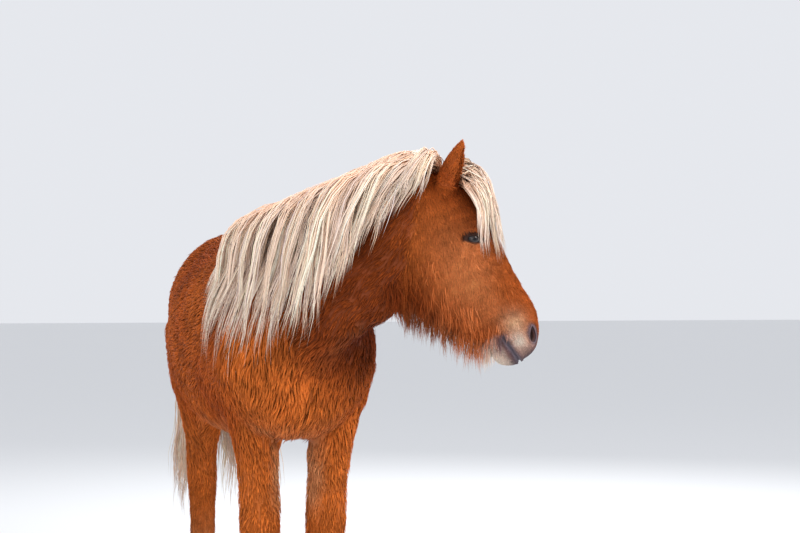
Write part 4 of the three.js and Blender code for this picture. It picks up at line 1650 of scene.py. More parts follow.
@dataclass
class Studio:
    """The floor, the soft light and the camera at the photo's viewing angle, in metres and degrees."""

    drawing: Drawing
    floor_size: float = 120.0
    eye: tuple[float, float, float] = (5.127, -0.901, 1.15)
    towards: tuple[float, float] = (-0.966, 0.259)
    lens: float = 70.0
    sensor: float = 36.0
    pitch: float = 1.05
    sky: float = 0.85
    lit: tuple[float, float, float] = (0.2, 0, 0.9)

    def build(self, finish: Material) -> None:
        """Make the floor, lights, world and camera.

        Args:
            finish: The floor's material.
        """
        deselect()
        bpy.ops.mesh.primitive_plane_add(size=self.floor_size, location=(0, 0, 0))
        floor = bpy.context.active_object
        floor.name = "studio_floor"
        floor.data.materials.append(finish)
        self.lamp("key", (3.2, 2.4, 4.2), 3.5, 200, (1.0, 0.985, 0.96))
        self.lamp("fill", (4.5, -3.6, 2.4), 4.0, 80, (0.95, 0.98, 1.0))
        self.lamp("rim", (-3.4, 2.0, 3.6), 3.0, 110, (1.0, 1.0, 1.0))
        world = bpy.data.worlds.new("soft_sky")
        world.use_nodes = True
        background = world.node_tree.nodes["Background"]
        background.inputs["Color"].default_value = (0.93, 0.95, 1.0, 1.0)
        background.inputs["Strength"].default_value = self.sky
        bpy.context.scene.world = world
        bpy.context.scene.view_settings.view_transform = "Standard"
        self.camera()

    def lamp(self, name: str, place: tuple, size: float, power: float, colour: tuple) -> None:
        """Add one soft square light that faces the horse's chest.

        Args:
            name: The light's name.
            place: Where it hangs.
            size: Its width.
            power: Its power in watts.
            colour: Its colour.
        """
        bpy.ops.object.light_add(type="AREA", location=place)
        light = bpy.context.active_object
        light.name = name
        light.data.size = size
        light.data.energy = power
        light.data.color = colour
        light.rotation_euler = (Vector(self.lit) - Vector(place)).to_track_quat("-Z", "Y").to_euler()

    def camera(self) -> None:
        """Add the camera."""
        place = Vector(self.eye) + Vector(self.drawing.shift.tolist())
        look = Vector((*self.towards, math.tan(math.radians(self.pitch))))
        bpy.ops.object.camera_add(location=place, rotation=look.to_track_quat("-Z", "Y").to_euler())
        camera = bpy.context.active_object
        camera.data.lens = self.lens
        camera.data.sensor_width = self.sensor
        bpy.context.scene.camera = camera


def dress(piece: Piece, material: Material, slot: str, *nodes: str) -> None:
    """Finish a piece.

    Args:
        piece: The piece.
        material: Its material.
        slot: Its slot; not used.
        *nodes: The solids that it stands for.
    """
    piece.data.materials.clear()
    piece.data.materials.append(material)
    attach(piece, "root")
    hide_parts(*nodes)
    LOG.info("%s: %d faces", piece.name, len(piece.data.polygons))


def spikes(paths: Array, outs: Array, widths: Array, ridge: float) -> tuple[Array, Array]:
    """Make closed, three-sided spikes along many paths at once.

    Args:
        paths: Paths from root to tip, one row of points for each.
        outs: The way out of the body at each point.
        widths: Widths at all points but the tip.
        ridge: How high the back of a spike stands, as a share of its width.

    Returns:
        Points, a row for each spike, and the triangles of all.
    """
    count, steps = paths.shape[:2]
    course = unit(np.gradient(paths, axis=1))
    across = unit(np.cross(course, outs))
    lift = np.cross(across, course)
    half = (widths / 2)[..., None]
    left = paths[:, :-1] - across[:, :-1] * half
    back = paths[:, :-1] + lift[:, :-1] * half * 2 * ridge
    right = paths[:, :-1] + across[:, :-1] * half
    rings = np.stack([left, back, right], axis=2).reshape(count, (steps - 1) * 3, 3)
    points = np.concatenate([rings, paths[:, -1:]], axis=1)
    edges = ((0, 1), (1, 2), (2, 0))
    local = [(0, 2, 1)]
    for step in range(steps - 2):
        low, high = step * 3, step * 3 + 3
        for here, beside in edges:
            local.append((low + here, low + beside, high + beside))
            local.append((low + here, high + beside, high + here))
    last = (steps - 2) * 3
    local += [(last + here, last + beside, last + 3) for here, beside in edges]
    starts = np.arange(count) * points.shape[1]
    triangles = (np.array(local)[None] + starts[:, None, None]).reshape(-1, 3)
    return points, triangles


def leg_middles(rows: tuple, height: Array) -> tuple[Array, Array]:
    """Find a leg's middle at each height.

    Args:
        rows: The leg's table.
        height: The heights.

    Returns:
        How far forward and how far outward it lies.
    """
    table = np.array(rows, float)[::-1]
    forward = np.interp(height, table[:, 0], (table[:, 1] + table[:, 2]) / 2)
    outward = np.interp(height, table[:, 0], (table[:, 3] + table[:, 4]) / 2)
    return forward, outward


# The skin's unwrap: how many cells it has, their margin, and the size of one spike's patch
MAP_CELLS = (4, 2)
MAP_MARGIN = 0.02
PATCH = 0.003


def skin_map(points: Array) -> Array:
    """Return where points of the skin lie on its unwrap: one cell for each form, angle by length.

    Args:
        points: Points in millimetres.

    Returns:
        Map coordinates from 0 to 1, one row for each point.
    """
    where = Region.at(points)
    x, y, z = points.T
    from_root = points - NECK_ROOT
    up_neck = UP - NECK_AXIS * (UP @ NECK_AXIS)
    round_neck = np.arctan2(from_root @ np.cross(NECK_AXIS, UP), from_root @ up_neck)
    round_head = np.arctan2(where.side, where.rise + 110)
    forms = [
        (where.neck > 0.5, round_neck, from_root @ NECK_AXIS / 650),
        (where.head > 0.5, round_head, (where.along + 90) / 730),
    ]
    for limb in LIMBS:
        forward, outward = leg_middles(limb.rows, z)
        back, front = limb.span
        for hand in HANDS:
            on_leg = (where.leg > 0.5) & (x > back) & (x < front) & (y * hand > 0)
            forms.append((on_leg, np.arctan2(y - outward * hand, x - forward), z / 820))
    on_tail = (x < -700) & (z > 200) & (np.abs(y) < 90)
    forms.append((on_tail, np.arctan2(y, x + 820), z / 1400))
    cell, angle, run = np.zeros(len(points)), np.arctan2(y, z - 1020), (x + 760) / 1500
    for index, (on_form, turn, length) in enumerate(forms):
        cell = np.where(on_form, index + 1, cell)
        angle = np.where(on_form, turn, angle)
        run = np.where(on_form, length, run)
    columns, rows = MAP_CELLS
    inner = 1 - 2 * MAP_MARGIN
    u = (cell % columns + MAP_MARGIN + inner * (angle / (2 * math.pi) + 0.5)) / columns
    v = (cell // columns + MAP_MARGIN + inner * np.clip(run, 0, 1)) / rows
    return np.stack([u, v], axis=1)


def map_spikes(piece: Piece, roots: Array, per: int) -> None:
    """Give each spike of a piece its small patch on the skin's unwrap.

    Args:
        piece: The piece, whose points come in equal runs, one for each spike.
        roots: Where each spike grows, in the drawing's millimetres.
        per: Points in each spike.
    """
    index = np.arange(per)
    local = np.stack([(index % 3 - 1) / 2, index // 3 / max(per // 3, 1) - 0.5], axis=1) * PATCH
    places = (skin_map(roots)[:, None] + local[None]).reshape(-1, 2)
    corners = np.empty(len(piece.data.loops), np.int32)
    piece.data.loops.foreach_get("vertex_index", corners)
    layer = piece.data.uv_layers.new(name="OFBake")
    layer.data.foreach_set("uv", places[corners].astype(np.float32).ravel())


@dataclass
class Guide:
    """The course of one lock, before it is parted into strands.

    Args:
        root: Where it grows.
        heading: The way it sets out.
        fall: The way it ends up hanging.
        length: Its length.
        lie: How far above the skin it lies.
        stiff: Share of its length over which it turns from heading to fall.
        settle: Share of its height above the skin that it has lost at its tip.
        sunk: How far its root lies in the skin.
    """

    root: Array
    heading: Array
    fall: Array
    length: float
    lie: float
    stiff: float
    settle: float = 0.0
    sunk: float = 8

    def course(self, shell: Shell, steps: int) -> tuple[Array, Array]:
        """Drape the lock over the skin.

        Args:
            shell: The skin.
            steps: How many steps it takes.

        Returns:
            The draped points and the way out at each of them.
        """
        stride = self.length / steps
        way = unit(self.heading)
        point = self.root - way * self.sunk
        points, outs = [point], [shell.nearest(self.root)[1]]
        for step in range(steps):
            share = smooth(0, self.stiff * 2, (step + 0.5) / steps)
            way = unit(self.heading * (1 - share) + self.fall * share)
            point = point + way * stride
            risen = float(smooth(-0.5, 2.0, np.array(step)))
            lie = self.lie * risen * (1 - self.settle * (step / steps) ** 2)
            height, out = shell.nearest(point)
            if height < lie:
                point = point + out * (lie - height)
                drawn = point - points[-1]
                point = points[-1] + drawn * min(1.0, 1.25 * stride / np.linalg.norm(drawn))
            points.append(point)
            outs.append(out)
        return np.array(points), np.array(outs)


@dataclass(frozen=True)
class LockStyle:
    """How locks part into strands.

    The spread is half a lock's width at its root, and gather the share of it left at the tip. The
    width is a strand's. A coated style takes the coat's own markings, with its tones as shares of them.
    """

    strands: int
    spread: float
    gather: float
    width: float
    wave: float
    wave_length: float
    steps: int
    # The root tone is partly the hair's own colour and partly painted shade deep in the locks
    root_tone: Array = field(default_factory=lambda: FLAXEN_SHADE)
    tip_tone: Array = field(default_factory=lambda: FLAXEN)
    coated: bool = False

    def shares(self) -> Array:
        """Return the places of a strand's points down its length, closer together near the root."""
        return np.linspace(0, 1, self.steps) ** 1.35


@dataclass
class LongHair:
    """Hair in long locks: mane, forelock, tail, jaw fringe and feather."""

    drawing: Drawing
    shell: Shell
    clearance: float = 3.0
    ridge: float = 0.3
    warmth: tuple[float, float, float] = (1.0, 0.97, 0.92)

    def grow(self, name: str, guides: list[Guide], style: LockStyle, seed: int) -> Piece:
        """Return one piece with all strands of some locks.

        Args:
            name: The piece's name.
            guides: The locks.
            style: How they part.
            seed: Which of the many arrangements.

        Returns:
            The piece, painted and mapped.
        """
        rng = np.random.default_rng(SEED + seed)
        share = style.shares()
        paths, outs, tones = [], [], []
        for guide in guides:
            course, ways = guide.course(self.shell, style.steps * 2)
            lock = self.part_lock(course, ways, guide.length, style, rng)
            paths.append(lock)
            outs.append(np.broadcast_to(self.resample(ways, share), lock.shape))
            tones.append(rng.normal(0, 0.1) + rng.normal(0, 0.09, style.strands))
        path, out = self.kept_out(np.concatenate(paths)), np.concatenate(outs)
        taper = (0.55 + 0.45 * smooth(0, 0.25, share)) * (1 - share**3)
        widths = style.width * rng.uniform(0.65, 1.35, (len(path), 1)) * taper[None, :-1]
        points, triangles = spikes(path, out, widths, self.ridge)
        piece = from_triangles(name, self.drawing.place(points.reshape(-1, 3)), triangles)
        ring_share = np.append(np.repeat(share[:-1], 3), 1.0)
        # Each strand is painted darker at its root, partly its own colour and partly painted shade deep in
        # the lock, and paler towards its tip
        colour = mix(style.root_tone, style.tip_tone, smooth(0.0, 0.55, ring_share))
        bright = np.clip(1 + np.concatenate(tones), 0.55, 1.35)[:, None, None]
        tint = np.array(self.warmth) ** rng.normal(0, 1.3, (len(path), 1))
        own = markings(path[:, 0], out[:, 0])[:, None] if style.coated else 1.0
        paint(piece, (own * colour[None] * bright * tint[:, None]).reshape(-1, 3))
        map_spikes(piece, path[:, 0], points.shape[1])
        return piece

    @staticmethod
    def resample(rows: Array, share: Array) -> Array:
        """Read rows at shares of their length."""
        return blend_rows(rows, share * (len(rows) - 1))

    def part_lock(self, course: Array, ways: Array, length: float, style: LockStyle, rng: Rng) -> Array:
        """Part one lock into strands, gathered towards its tip and swaying together.

        Args:
            course: The lock's own points.
            ways: The way out at each.
            length: The lock's length.
            style: How it parts.
            rng: The source of chance.

        Returns:
            A row of points for each strand.
        """
        across = unit(np.cross(np.gradient(course, axis=0), ways))
        phase = rng.uniform(0, 2 * math.pi)
        drift = rng.normal(0, 0.4)
        made = []
        for _ in range(style.strands):
            share = style.shares() * rng.uniform(0.72, 1.0)
            gather = 1 - (1 - style.gather) * smooth(0.05, 0.95, share)
            aside = rng.uniform(-1, 1) * style.spread * gather
            above = rng.uniform(-0.2, 0.5) * style.spread * gather * smooth(0, 0.2, share)
            sway = np.sin(share * length / style.wave_length * 2 * math.pi + phase + rng.normal(0, 0.35))
            aside = aside + style.wave * smooth(0.05, 0.6, share) * (sway + drift * share * 2)
            aside = aside + rng.normal(0, 0.35) * style.spread * share**2
            line = self.resample(course, share) + self.resample(across, share) * aside[:, None]
            made.append(line + self.resample(ways, share) * above[:, None])
        return np.array(made)

    def kept_out(self, paths: Array) -> Array:
        """Push points past the roots out of the skin.

        Args:
            paths: A row of points for each strand.

        Returns:
            The same rows, moved.
        """
        for path in paths:
            for step in range(1, len(path)):
                height, out = self.shell.nearest(path[step])
                if height < self.clearance:
                    path[step] += out * (self.clearance - height)
        return paths


# The mane: the stretch of the neck that it grows on, and its lengths from withers to poll
MANE_START, MANE_RUN = 1.0, 4.85
MANE_LENGTHS = np.array([[430.0], [640.0], [730.0], [710.0], [570.0], [310.0]])
POLL_PLACES = (5.5, 5.9)

# The tail: where on the dock its locks grow, with the length and lie of those at some places
DOCK_START, DOCK_RUN = 1.45, 3.25
TAIL_LENGTHS = ([1.45, 2.1, 3.1, 4.7], [930, 940, 850, 680])
TAIL_LIES = ([1.45, 1.9, 3.1, 4.7], [12, 28, 18, 6])

# The forelock, jaw fringe and feather: longest locks, and where they grow
FORELOCK_LENGTH, FORELOCK_SPAN = 305, (-1.35, 0.65)
FRINGE_LENGTH, FRINGE_START, FRINGE_RUN, FRINGE_TURN = 98, 225, 335, 86
FEATHER_LENGTH, FEATHER_HEIGHTS, FEATHER_TURN, FEATHER_FLOOR = 100, (130, 235), 66, 34


@dataclass
class Locks:
    """Where the locks of the long hair grow on the skin, and how they fall."""

    rng: Rng
    shell: Shell
    depth: float

    def mane(self, count: int) -> list[Guide]:
        """Lay the locks along the crest that fall to the right, long over the neck.

        Args:
            count: How many.

        Returns:
            The locks.
        """
        rng, crest, made = self.rng, neck_form(-self.depth), []
        for index in range(count):
            share = (index + rng.uniform()) / count
            place = MANE_START + MANE_RUN * share
            lean = rng.uniform(-38, 20)
            layer = (20 - lean) / 58
            right = -heading(crest.yaw(place) + 90)
            back = np.cross(right, UP)
            sweep = 0.04 + 0.42 * share**1.6
            high = float(smooth(0.72, 1.0, np.array(share)))
            root = crest.point(place, math.radians(90 + lean))
            way = right + UP * (0.12 + 0.25 * high) + back * sweep
            fall = unit(DOWN + back * sweep * rng.uniform(0.6, 1.4) + ALONG * rng.normal(0, 0.04))
            length = float(blend_rows(MANE_LENGTHS, np.array([share * 5]))[0, 0]) * rng.uniform(0.82, 1.06)
            made.append(Guide(root, way, fall, length, self.depth - 6 + 32 * layer + 8 * high, 0.3))
        return made

    def parted(self, count: int) -> list[Guide]:
        """Lay the shorter locks that fall to the left of the crest.

        Args:
            count: How many.

        Returns:
            The locks.
        """
        rng, crest, made = self.rng, neck_form(-self.depth), []
        for index in range(count):
            share = (index + rng.uniform()) / count
            place = MANE_START + MANE_RUN * share
            left = heading(crest.yaw(place) + 90)
            back = -np.cross(left, UP)
            root = crest.point(place, math.radians(90 + rng.uniform(-12, 16)))
            fall = unit(DOWN + back * rng.uniform(0.1, 0.45))
            length = rng.uniform(110, 300) * (1 - 0.4 * share)
            lie = self.depth - 8 + rng.uniform(0, 12)
            made.append(Guide(root, left + UP * 0.25 + back * 0.3, fall, length, lie, 0.35))
        return made

    def poll(self, count: int) -> list[Guide]:
        """Lay the loose locks that rise between the ears and fall behind the right one.

        Args:
            count: How many.

        Returns:
            The locks.
        """
        rng, crest, made = self.rng, neck_form(-self.depth), []
        for _ in range(count):
            place = rng.uniform(*POLL_PLACES)
            right = -heading(crest.yaw(place) + 90)
            root = crest.point(place, math.radians(90 + rng.uniform(-22, 14)))
            way = right + UP * 0.6 + AHEAD * rng.uniform(-0.1, 0.1)
            fall = unit(DOWN + right * 0.1 - AHEAD * rng.uniform(0.25, 0.6))
            made.append(Guide(root, way, fall, rng.uniform(230, 330), rng.uniform(12, 34), 0.45, 0.4))
        return made

    def forelock(self, count: int) -> list[Guide]:
        """Lay the locks from between the ears that fan out down the forehead.

        Args:
            count: How many.

        Returns:
            The locks.
        """
        rng, made = self.rng, []
        for index in range(count):
            layer = index / count
            place = rng.uniform(*FORELOCK_SPAN)
            near = max(0.0, -place) / 1.35
            side = SIDE * (place * 0.46 - 0.1)
            root, _ = self.shell.foot(on_head(92 - 52 * layer, 34, place * 40))
            way = ALONG * 0.8 + RISE * (0.25 + 0.75 * layer) + side
            fall = unit(ALONG * (0.45 - 0.4 * near) + DOWN * (0.9 + 0.2 * near) + side * 0.3)
            length = FORELOCK_LENGTH * rng.uniform(0.76, 1.04) * (1 - 0.1 * abs(place))
            made.append(Guide(root, way, fall, length, 4 + 66 * layer, 0.36, 0.9))
        return made

    def fringe(self, count: int) -> list[Guide]:
        """Lay the short uneven locks that hang from under the cheeks and chin.

        Args:
            count: How many.

        Returns:
            The locks.
        """
        rng, jaw, made = self.rng, head_form(), []
        places = np.array([row[0] for row in HEAD], float)
        for index in range(count):
            along = FRINGE_START + FRINGE_RUN * (index + rng.uniform()) / count
            angle = rng.triangular(-FRINGE_TURN, 0, FRINGE_TURN)
            place = np.interp(along, places, np.arange(len(HEAD)))
            root, out = self.shell.foot(jaw.point(place, math.radians(angle - 90)))
            stray = ALONG * rng.uniform(-0.1, 0.5)
            length = FRINGE_LENGTH * rng.uniform(0.5, 1.15)
            length *= 1 - 0.45 * float(smooth(500, 565, np.array(along)))
            length *= 1 - 0.5 * abs(angle) / FRINGE_TURN
            made.append(Guide(root, out * 0.3 + DOWN + stray, unit(DOWN + stray), length, 2.0, 0.5))
        return made

    def tail(self, count: int) -> list[Guide]:
        """Lay the long locks round the dock, the upper ones over the lower.

        Args:
            count: How many.

        Returns:
            The locks.
        """
        rng, dock, made = self.rng, tail_form(-6.0), []
        for index in range(count):
            place = DOCK_START + DOCK_RUN * index / count
            turn = math.radians(rng.uniform(-150, 150) + 12) - math.pi / 2
            out = heading(90) * math.cos(turn) + heading(0) * 0.6 * math.sin(turn)
            fall = unit(DOWN + out * rng.uniform(-0.02, 0.04))
            length = float(np.interp(place, *TAIL_LENGTHS)) * rng.uniform(0.86, 1.02)
            lie = float(np.interp(place, *TAIL_LIES))
            made.append(Guide(dock.point(place, turn), DOWN + out * 0.35, fall, length, lie, 0.5))
        return made

    def feather(self, limb: Limb, hand: int, count: int) -> list[Guide]:
        """Lay the locks behind one fetlock, the middle ones longest.

        Args:
            limb: The pair of legs that it belongs to.
            hand: 1 for left, -1 for right.
            count: How many.

        Returns:
            The locks.
        """
        rng, leg, made = self.rng, leg_form(limb, hand, -5.0), []
        heights = np.array([row[0] for row in limb.rows], float)[::-1]
        for _ in range(count):
            height = rng.uniform(*FEATHER_HEIGHTS)
            place = len(heights) - 1 - np.interp(height, heights, np.arange(len(heights)))
            turn = rng.uniform(-1, 1)
            length = FEATHER_LENGTH * (1 - 0.3 * abs(turn)) * rng.uniform(0.7, 1.08)
            root = leg.point(place, -math.pi / 2 + turn * math.radians(FEATHER_TURN))
            way = DOWN + heading(180) * 0.5
            made.append(Guide(root, way, DOWN, min(length, height - FEATHER_FLOOR), 5, 0.4))
        return made


MANE_STYLE = LockStyle(11, 19.0, 0.3, 3.9, 5.0, 210.0, 11)
FORELOCK_STYLE = LockStyle(18, 15.0, 0.35, 3.2, 3.5, 160.0, 9)
TAIL_STYLE = LockStyle(16, 28.0, 0.4, 5.2, 8.0, 260.0, 12)
FRINGE_STYLE = LockStyle(7, 25.0, 1.1, 1.7, 2.5, 90.0, 6, np.full(3, 0.85), np.full(3, 0.98), True)
FEATHER_STYLE = LockStyle(9, 11.0, 0.4, 2.4, 2.0, 70.0, 6, np.full(3, 0.85), np.full(3, 1.02), True)


class Growth(Enum):
    """The parts of the animal whose coat differs."""

    BODY = "body"
    LEG = "leg"
    FACE = "face"
    EAR = "ear"


@dataclass(frozen=True)
class Tuft:
    """One kind of coat tuft.

    Length and width are typical ones. In degrees, lift is how steeply the tufts stand off the skin and
    wander how far their lie wavers. The steps are points from root to tip, 2 or 3.
    """

    growth: Growth
    count: int
    length: float
    width: float
    lift: float
    steps: int
    wander: float

    def triangles(self) -> int:
        """Return how many triangles one tuft has."""
        return 4 + (self.steps - 2) * 6


TUFTS = (
    Tuft(Growth.BODY, 62000, 54.0, 4.4, 9.0, 3, 19.0),
    Tuft(Growth.LEG, 36000, 24.0, 3.3, 12.0, 2, 14.0),
    Tuft(Growth.FACE, 66000, 21.0, 2.6, 14.0, 2, 17.0),
    Tuft(Growth.EAR, 11000, 11.0, 1.9, 14.0, 2, 14.0),
)
LEAN_BACK = unit(np.array([-1.0, 0.0, -0.38]))
LEAN_RUMP = np.array([-0.35, 0.0, -0.95])
LEAN_LEG = np.array([-0.15, 0.0, -1.0])
LEAN_NECK = -NECK_AXIS * 0.75 + DOWN * 0.65
LEAN_FACE = ALONG * 0.85 + DOWN * 0.35
LEAN_CHEEK = ALONG * 0.7 - RISE * 0.38


@dataclass
class Coat:
    """The winter coat: tufts rooted all over the skin, each lying along the body.

    Args:
        drawing: The drawing's place on the part.
        flesh: The skin's maker, which knows its eyes and nostrils.
        skin: The finished skin.
        most: Most triangles in one piece.
    """

    drawing: Drawing
    flesh: FleshSkin
    skin: Piece
    most: int = 180000
    sunk: float = 0.03
    ridge: float = 0.22
    corners: Array = field(init=False)
    normals: Array = field(init=False)
    areas: Array = field(init=False)

    def __post_init__(self) -> None:
        """Read the skin's triangles."""
        mesh = self.skin.data
        mesh.calc_loop_triangles()
        index = np.empty(len(mesh.loop_triangles) * 3, np.int32)
        mesh.loop_triangles.foreach_get("vertices", index)
        index = index.reshape(-1, 3)
        self.corners = self.drawing.back(mesh_points(self.skin))[index]
        self.normals = mesh_normals(self.skin)[index]
        spans = self.corners[:, 1:] - self.corners[:, :1]
        self.areas = np.linalg.norm(np.cross(spans[:, 0], spans[:, 1]), axis=1) / 2

    def build(self) -> dict[Growth, list[Piece]]:
        """Return all pieces of the coat by where they grow."""
        return {kind.growth: self.grow(kind, seed) for seed, kind in enumerate(TUFTS)}

    def share(self, growth: Growth, points: Array, normals: Array) -> Array:
        """Return how densely a kind of tuft grows at points.

        Args:
            growth: The part of the animal.
            points: Points in millimetres.
            normals: The way out at each.

        Returns:
            A density for each point.
        """
        where = Region.of(points, normals)
        ear = self.ear_share(points)
        leg = smooth(520, 400, points[:, 2])
        if growth is Growth.EAR:
            return ear
        if growth is Growth.LEG:
            return leg * smooth(38, 60, points[:, 2])
        if growth is Growth.BODY:
            return (1 - leg) * (1 - where.head) * (1 - ear)
        closer = 1 + 0.9 * smooth(420, 560, where.along)
        return where.head * (1 - ear) * self.open_skin(points, where) * closer

    @staticmethod
    def ear_share(points: Array) -> Array:
        """Find the ears.

        Args:
            points: Points in millimetres.

        Returns:
            1 for points on the ears and 0 elsewhere.
        """
        found = np.zeros(len(points))
        for hand in HANDS:
            apart = points - ear_base(hand)
            height = apart @ ear_axis(hand)
            aside = np.linalg.norm(apart - height[:, None] * ear_axis(hand), axis=1)
            found = np.maximum(found, smooth(18, 34, height) * smooth(75, 60, aside))
        return found

    def open_skin(self, points: Array, where: Region) -> Array:
        """Find where the face is bare: eyes, nostrils and the line of the lips.

        Args:
            points: Points in millimetres.
            where: Their regions.

        Returns:
            0 for bare points and 1 elsewhere.
        """
        bare = smooth(9, 5, np.abs(where.above_mouth()))
        bare = bare * smooth(MOUTH_CORNER - 6, MOUTH_CORNER + 4, where.along)
        for slit in self.flesh.eyes:
            places = slit.local(points)
            near = np.linalg.norm(places, axis=1) < 50
            bare = np.maximum(bare, smooth(1.75, 1.45, self.flesh.almond(places)) * near)
        for slit in self.flesh.nostrils:
            places = slit.local(points)
            ring = np.hypot(places[:, 0] / self.flesh.nostril_half, places[:, 1] / self.flesh.nostril_open)
            bare = np.maximum(bare, smooth(1.5, 1.2, ring) * (np.abs(places[:, 2]) < 30))
        return 1 - bare

    def lie(self, points: Array, normals: Array) -> Array:
        """Return the way the coat lies at points, along the skin.

        Args:
            points: Points in millimetres.
            normals: The way out at each.

        Returns:
            One level direction along the skin for each point.
        """
        where = Region.of(points, normals)
        x, y, z = points.T
        way = mix(LEAN_BACK, LEAN_RUMP, smooth(-520, -680, x))
        way = mix(way, LEAN_NECK, where.neck)
        chest = np.stack([np.full_like(y, 0.1), y * 0.002, np.full_like(y, -1.0)], axis=1)
        way = mix(way, chest, smooth(520, 640, x) * (1 - where.neck) * (1 - where.head))
        way = mix(way, LEAN_LEG, smooth(1000, 760, z))
        cheek = smooth(-20, -110, where.rise) * smooth(470, 380, where.along)
        face = mix(LEAN_FACE, LEAN_CHEEK, cheek)
        spread = SIDE * (np.sign(where.side) * smooth(0, 60, np.abs(where.side)) * 0.5)[:, None]
        face = face + spread * smooth(-60, 10, where.rise)[:, None]
        way = mix(way, face, where.head)
        tips = np.where(where.side[:, None] > 0, ear_axis(1), ear_axis(-1))
        way = mix(way, tips, self.ear_share(points))
        return unit(way - normals * np.sum(way * normals, axis=1, keepdims=True))

    def lengths(self, kind: Tuft, points: Array, normals: Array) -> Array:
        """Return how long the tufts at points are.

        Args:
            kind: The tuft.
            points: Points in millimetres.
            normals: The way out at each.

        Returns:
            A length in millimetres for each point.
        """
        where = Region.of(points, normals)
        height = points[:, 2]
        if kind.growth is Growth.BODY:
            low = smooth(-0.3, -0.9, normals[:, 2])
            throat = where.neck * smooth(0.2, 0.8, normals[:, 0])
            thigh = smooth(760, 560, height)
            near_head = smooth(540, 300, np.linalg.norm(points - on_head(150, -120, 0), axis=1))
            longer = 0.3 * low + 0.25 * where.chest + 0.2 * throat - 0.35 * thigh
            return kind.length * (1 + longer) * (1 - 0.5 * near_head)
        if kind.growth is Growth.LEG:
            return kind.length * (1 + 0.5 * smooth(380, 520, height) + 0.25 * smooth(200, 90, height))
        if kind.growth is Growth.FACE:
            short = smooth(400, 590, where.along)
            jaw = smooth(-115, -215, where.rise) + 0.5 * smooth(60, -20, where.along)
            apart = np.hypot(where.along - EYE_ALONG, where.rise - EYE_RISE)
            lashes = smooth(60, 25, apart) * (np.abs(where.side) > 50)
            return kind.length * (1 - 0.7 * short + 1.1 * jaw * (1 - short)) * (1 - 0.55 * lashes)
        return np.full(len(points), kind.length)

    def grow(self, kind: Tuft, seed: int) -> list[Piece]:
        """Return the pieces of one kind of tuft.

        Args:
            kind: The tuft.
            seed: Which of the many arrangements.

        Returns:
            Pieces of no more than the most triangles each.
        """
        rng = np.random.default_rng(SEED + 50 + seed)
        middles = self.corners.mean(axis=1)
        density = self.areas * self.share(kind.growth, middles, unit(self.normals.mean(axis=1)))
        chosen = rng.choice(len(density), kind.count, p=density / density.sum())
        part = rng.dirichlet((1.0, 1.0, 1.0), kind.count)[..., None]
        roots = (self.corners[chosen] * part).sum(axis=1)
        normals = unit((self.normals[chosen] * part).sum(axis=1))
        order = np.argsort(roots[:, 0])
        pieces = math.ceil(kind.count * kind.triangles() / self.most)
        return [
            self.piece(f"coat_{kind.growth.value}_{index + 1}", kind, roots[rows], normals[rows], rng)
            for index, rows in enumerate(np.array_split(order, pieces))
        ]

    def piece(self, name: str, kind: Tuft, roots: Array, normals: Array, rng: Rng) -> Piece:
        """Return one piece of coat, with a tuft at each root.

        Args:
            name: The piece's name.
            kind: The tuft.
            roots: Where the tufts grow.
            normals: The way out there.
            rng: The source of chance.

        Returns:
            The piece, painted and mapped.
        """
        count, size = len(roots), kind.length
        way = self.lie(roots, normals)
        bend = ripple(roots, size * 4.2, 21) * 0.7 + ripple(roots, size * 1.5, 22) * 0.8
        bend = np.radians(kind.wander) * (bend + rng.normal(0, 0.3, count))
        way = way * np.cos(bend)[:, None] + np.cross(normals, way) * np.sin(bend)[:, None]
        lift = kind.lift * (1 + 0.45 * ripple(roots, size * 2.0, 23) + rng.normal(0, 0.22, count))
        lift = np.radians(np.clip(lift, 3, 34))[:, None]
        long = (self.lengths(kind, roots, normals) * rng.uniform(0.7, 1.2, count))[:, None]
        rise = normals * np.sin(lift) + way * np.cos(lift)
        start = roots - normals * long * self.sunk
        path = [start, start + rise * long - normals * long * 0.05]
        shape = np.array([0.75, 1.0])[3 - kind.steps :]
        if kind.steps == 3:
            path.insert(1, start + (rise * 0.5 + normals * 0.07) * long)
        stout = np.clip(long / size, 0.55, 1.3) ** 0.6
        widths = kind.width * stout * rng.uniform(0.75, 1.25, (count, 1)) * shape
        outs = np.repeat(normals[:, None], kind.steps, axis=1)
        points, triangles = spikes(np.stack(path, axis=1), outs, widths, self.ridge)
        piece = from_triangles(name, self.drawing.place(points.reshape(-1, 3)), triangles)
        bright = 1 + 0.16 * ripple(roots, size * 1.6, 24) + rng.normal(0, 0.13, count)
        colour = markings(roots, normals) * np.clip(bright, 0.6, 1.4)[:, None]
        # Each tuft is painted darker towards its root, as painted shade deep in the coat, and lighter at
        # its tip
        along = np.append(np.repeat(np.array([0.6, 0.92])[: kind.steps - 1], 3), 1.18)
        paint(piece, (colour[:, None] * along[None, :, None]).reshape(-1, 3))
        map_spikes(piece, roots, points.shape[1])
        return piece


LEGS = [f"{limb.end}leg_{side}" for limb in LIMBS for side in SIDES]
EARS = [f"ear_{side}" for side in SIDES]
COVERS = {Growth.BODY: ("torso", "neck"), Growth.LEG: LEGS, Growth.FACE: ("head",), Growth.EAR: EARS}


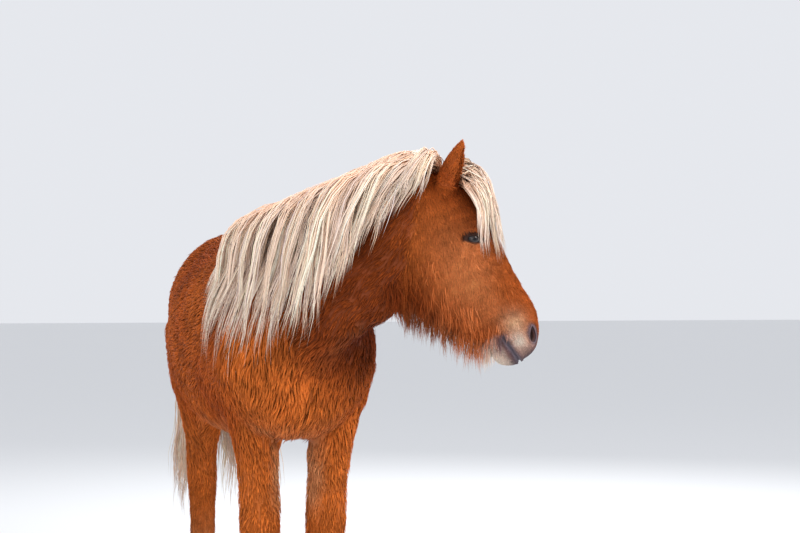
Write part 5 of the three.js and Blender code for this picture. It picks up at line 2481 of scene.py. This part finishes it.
@dataclass
class Horse:
    """The whole animal, made piece by piece in the order that the later ones need."""

    drawing: Drawing
    materials: dict[Surface, Material]

    def build(self) -> None:
        """Make every piece of the horse."""
        flesh = FleshSkin(self.drawing)
        skin = self.bare_body(flesh)
        shell = Shell.of(skin, self.drawing)
        locks = Locks(np.random.default_rng(SEED), shell, flesh.coat_depth)
        self.long_hair(LongHair(self.drawing, shell), locks)
        for growth, pieces in Coat(self.drawing, flesh, skin).build().items():
            for piece in pieces:
                dress(piece, self.materials[Surface.COAT], "coat", *COVERS[growth])

    def bare_body(self, flesh: FleshSkin) -> Piece:
        """Make the skin, eyes and hooves.

        Args:
            flesh: The skin's maker.

        Returns:
            The skin.
        """
        skin = flesh.build()
        points = self.drawing.back(mesh_points(skin))
        paint(skin, markings(points, mesh_normals(skin)) * flesh.inner_shade(points)[:, None])
        dress(skin, self.materials[Surface.SKIN], "coat", "torso", "neck", "head", *EARS, *LEGS)
        for slit, side in zip(flesh.eyes, SIDES):
            ball = EyeBall(self.drawing).build(slit, f"eyeball_{side}")
            dress(ball, self.materials[Surface.EYE], "eye", f"eye_{side}")
        for limb in LIMBS:
            for hand, side in zip(HANDS, SIDES):
                hoof = Hoof(self.drawing).build(limb, hand, f"horn_{limb.end}_{side}")
                dress(hoof, self.materials[Surface.HOOF], "horn", f"hoof_{limb.end}_{side}")
        return skin

    def long_hair(self, hair: LongHair, locks: Locks) -> None:
        """Make the mane, forelock, jaw fringe, tail and feather.

        Args:
            hair: Parts locks into strands.
            locks: Lays the locks.
        """
        flaxen, coated = self.materials[Surface.MANE], self.materials[Surface.COAT]
        mane = locks.mane(206) + locks.parted(62) + locks.poll(20)
        dress(hair.grow("mane", mane, MANE_STYLE, 1), flaxen, "tail_hair", "neck")
        dress(hair.grow("forelock", locks.forelock(66), FORELOCK_STYLE, 2), flaxen, "tail_hair", "head")
        dress(hair.grow("jaw_fringe", locks.fringe(330), FRINGE_STYLE, 3), coated, "coat", "head")
        dress(hair.grow("tail_hair", locks.tail(84), TAIL_STYLE, 4), flaxen, "tail_hair", "tail")
        for limb in LIMBS:
            for hand, side in zip(HANDS, SIDES):
                feather = locks.feather(limb, hand, 40)
                piece = hair.grow(f"feather_{limb.end}_{side}", feather, FEATHER_STYLE, 5)
                dress(piece, coated, "coat", f"{limb.end}leg_{side}")


def main() -> None:
    """Build the studio and the horse."""
    logging.basicConfig(level=logging.INFO, format="%(message)s")
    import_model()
    drawing = Drawing.fitted()
    materials = all_materials()
    Studio(drawing).build(materials[Surface.FLOOR])
    Horse(drawing, materials).build()


if __name__ == "__main__":
    main()
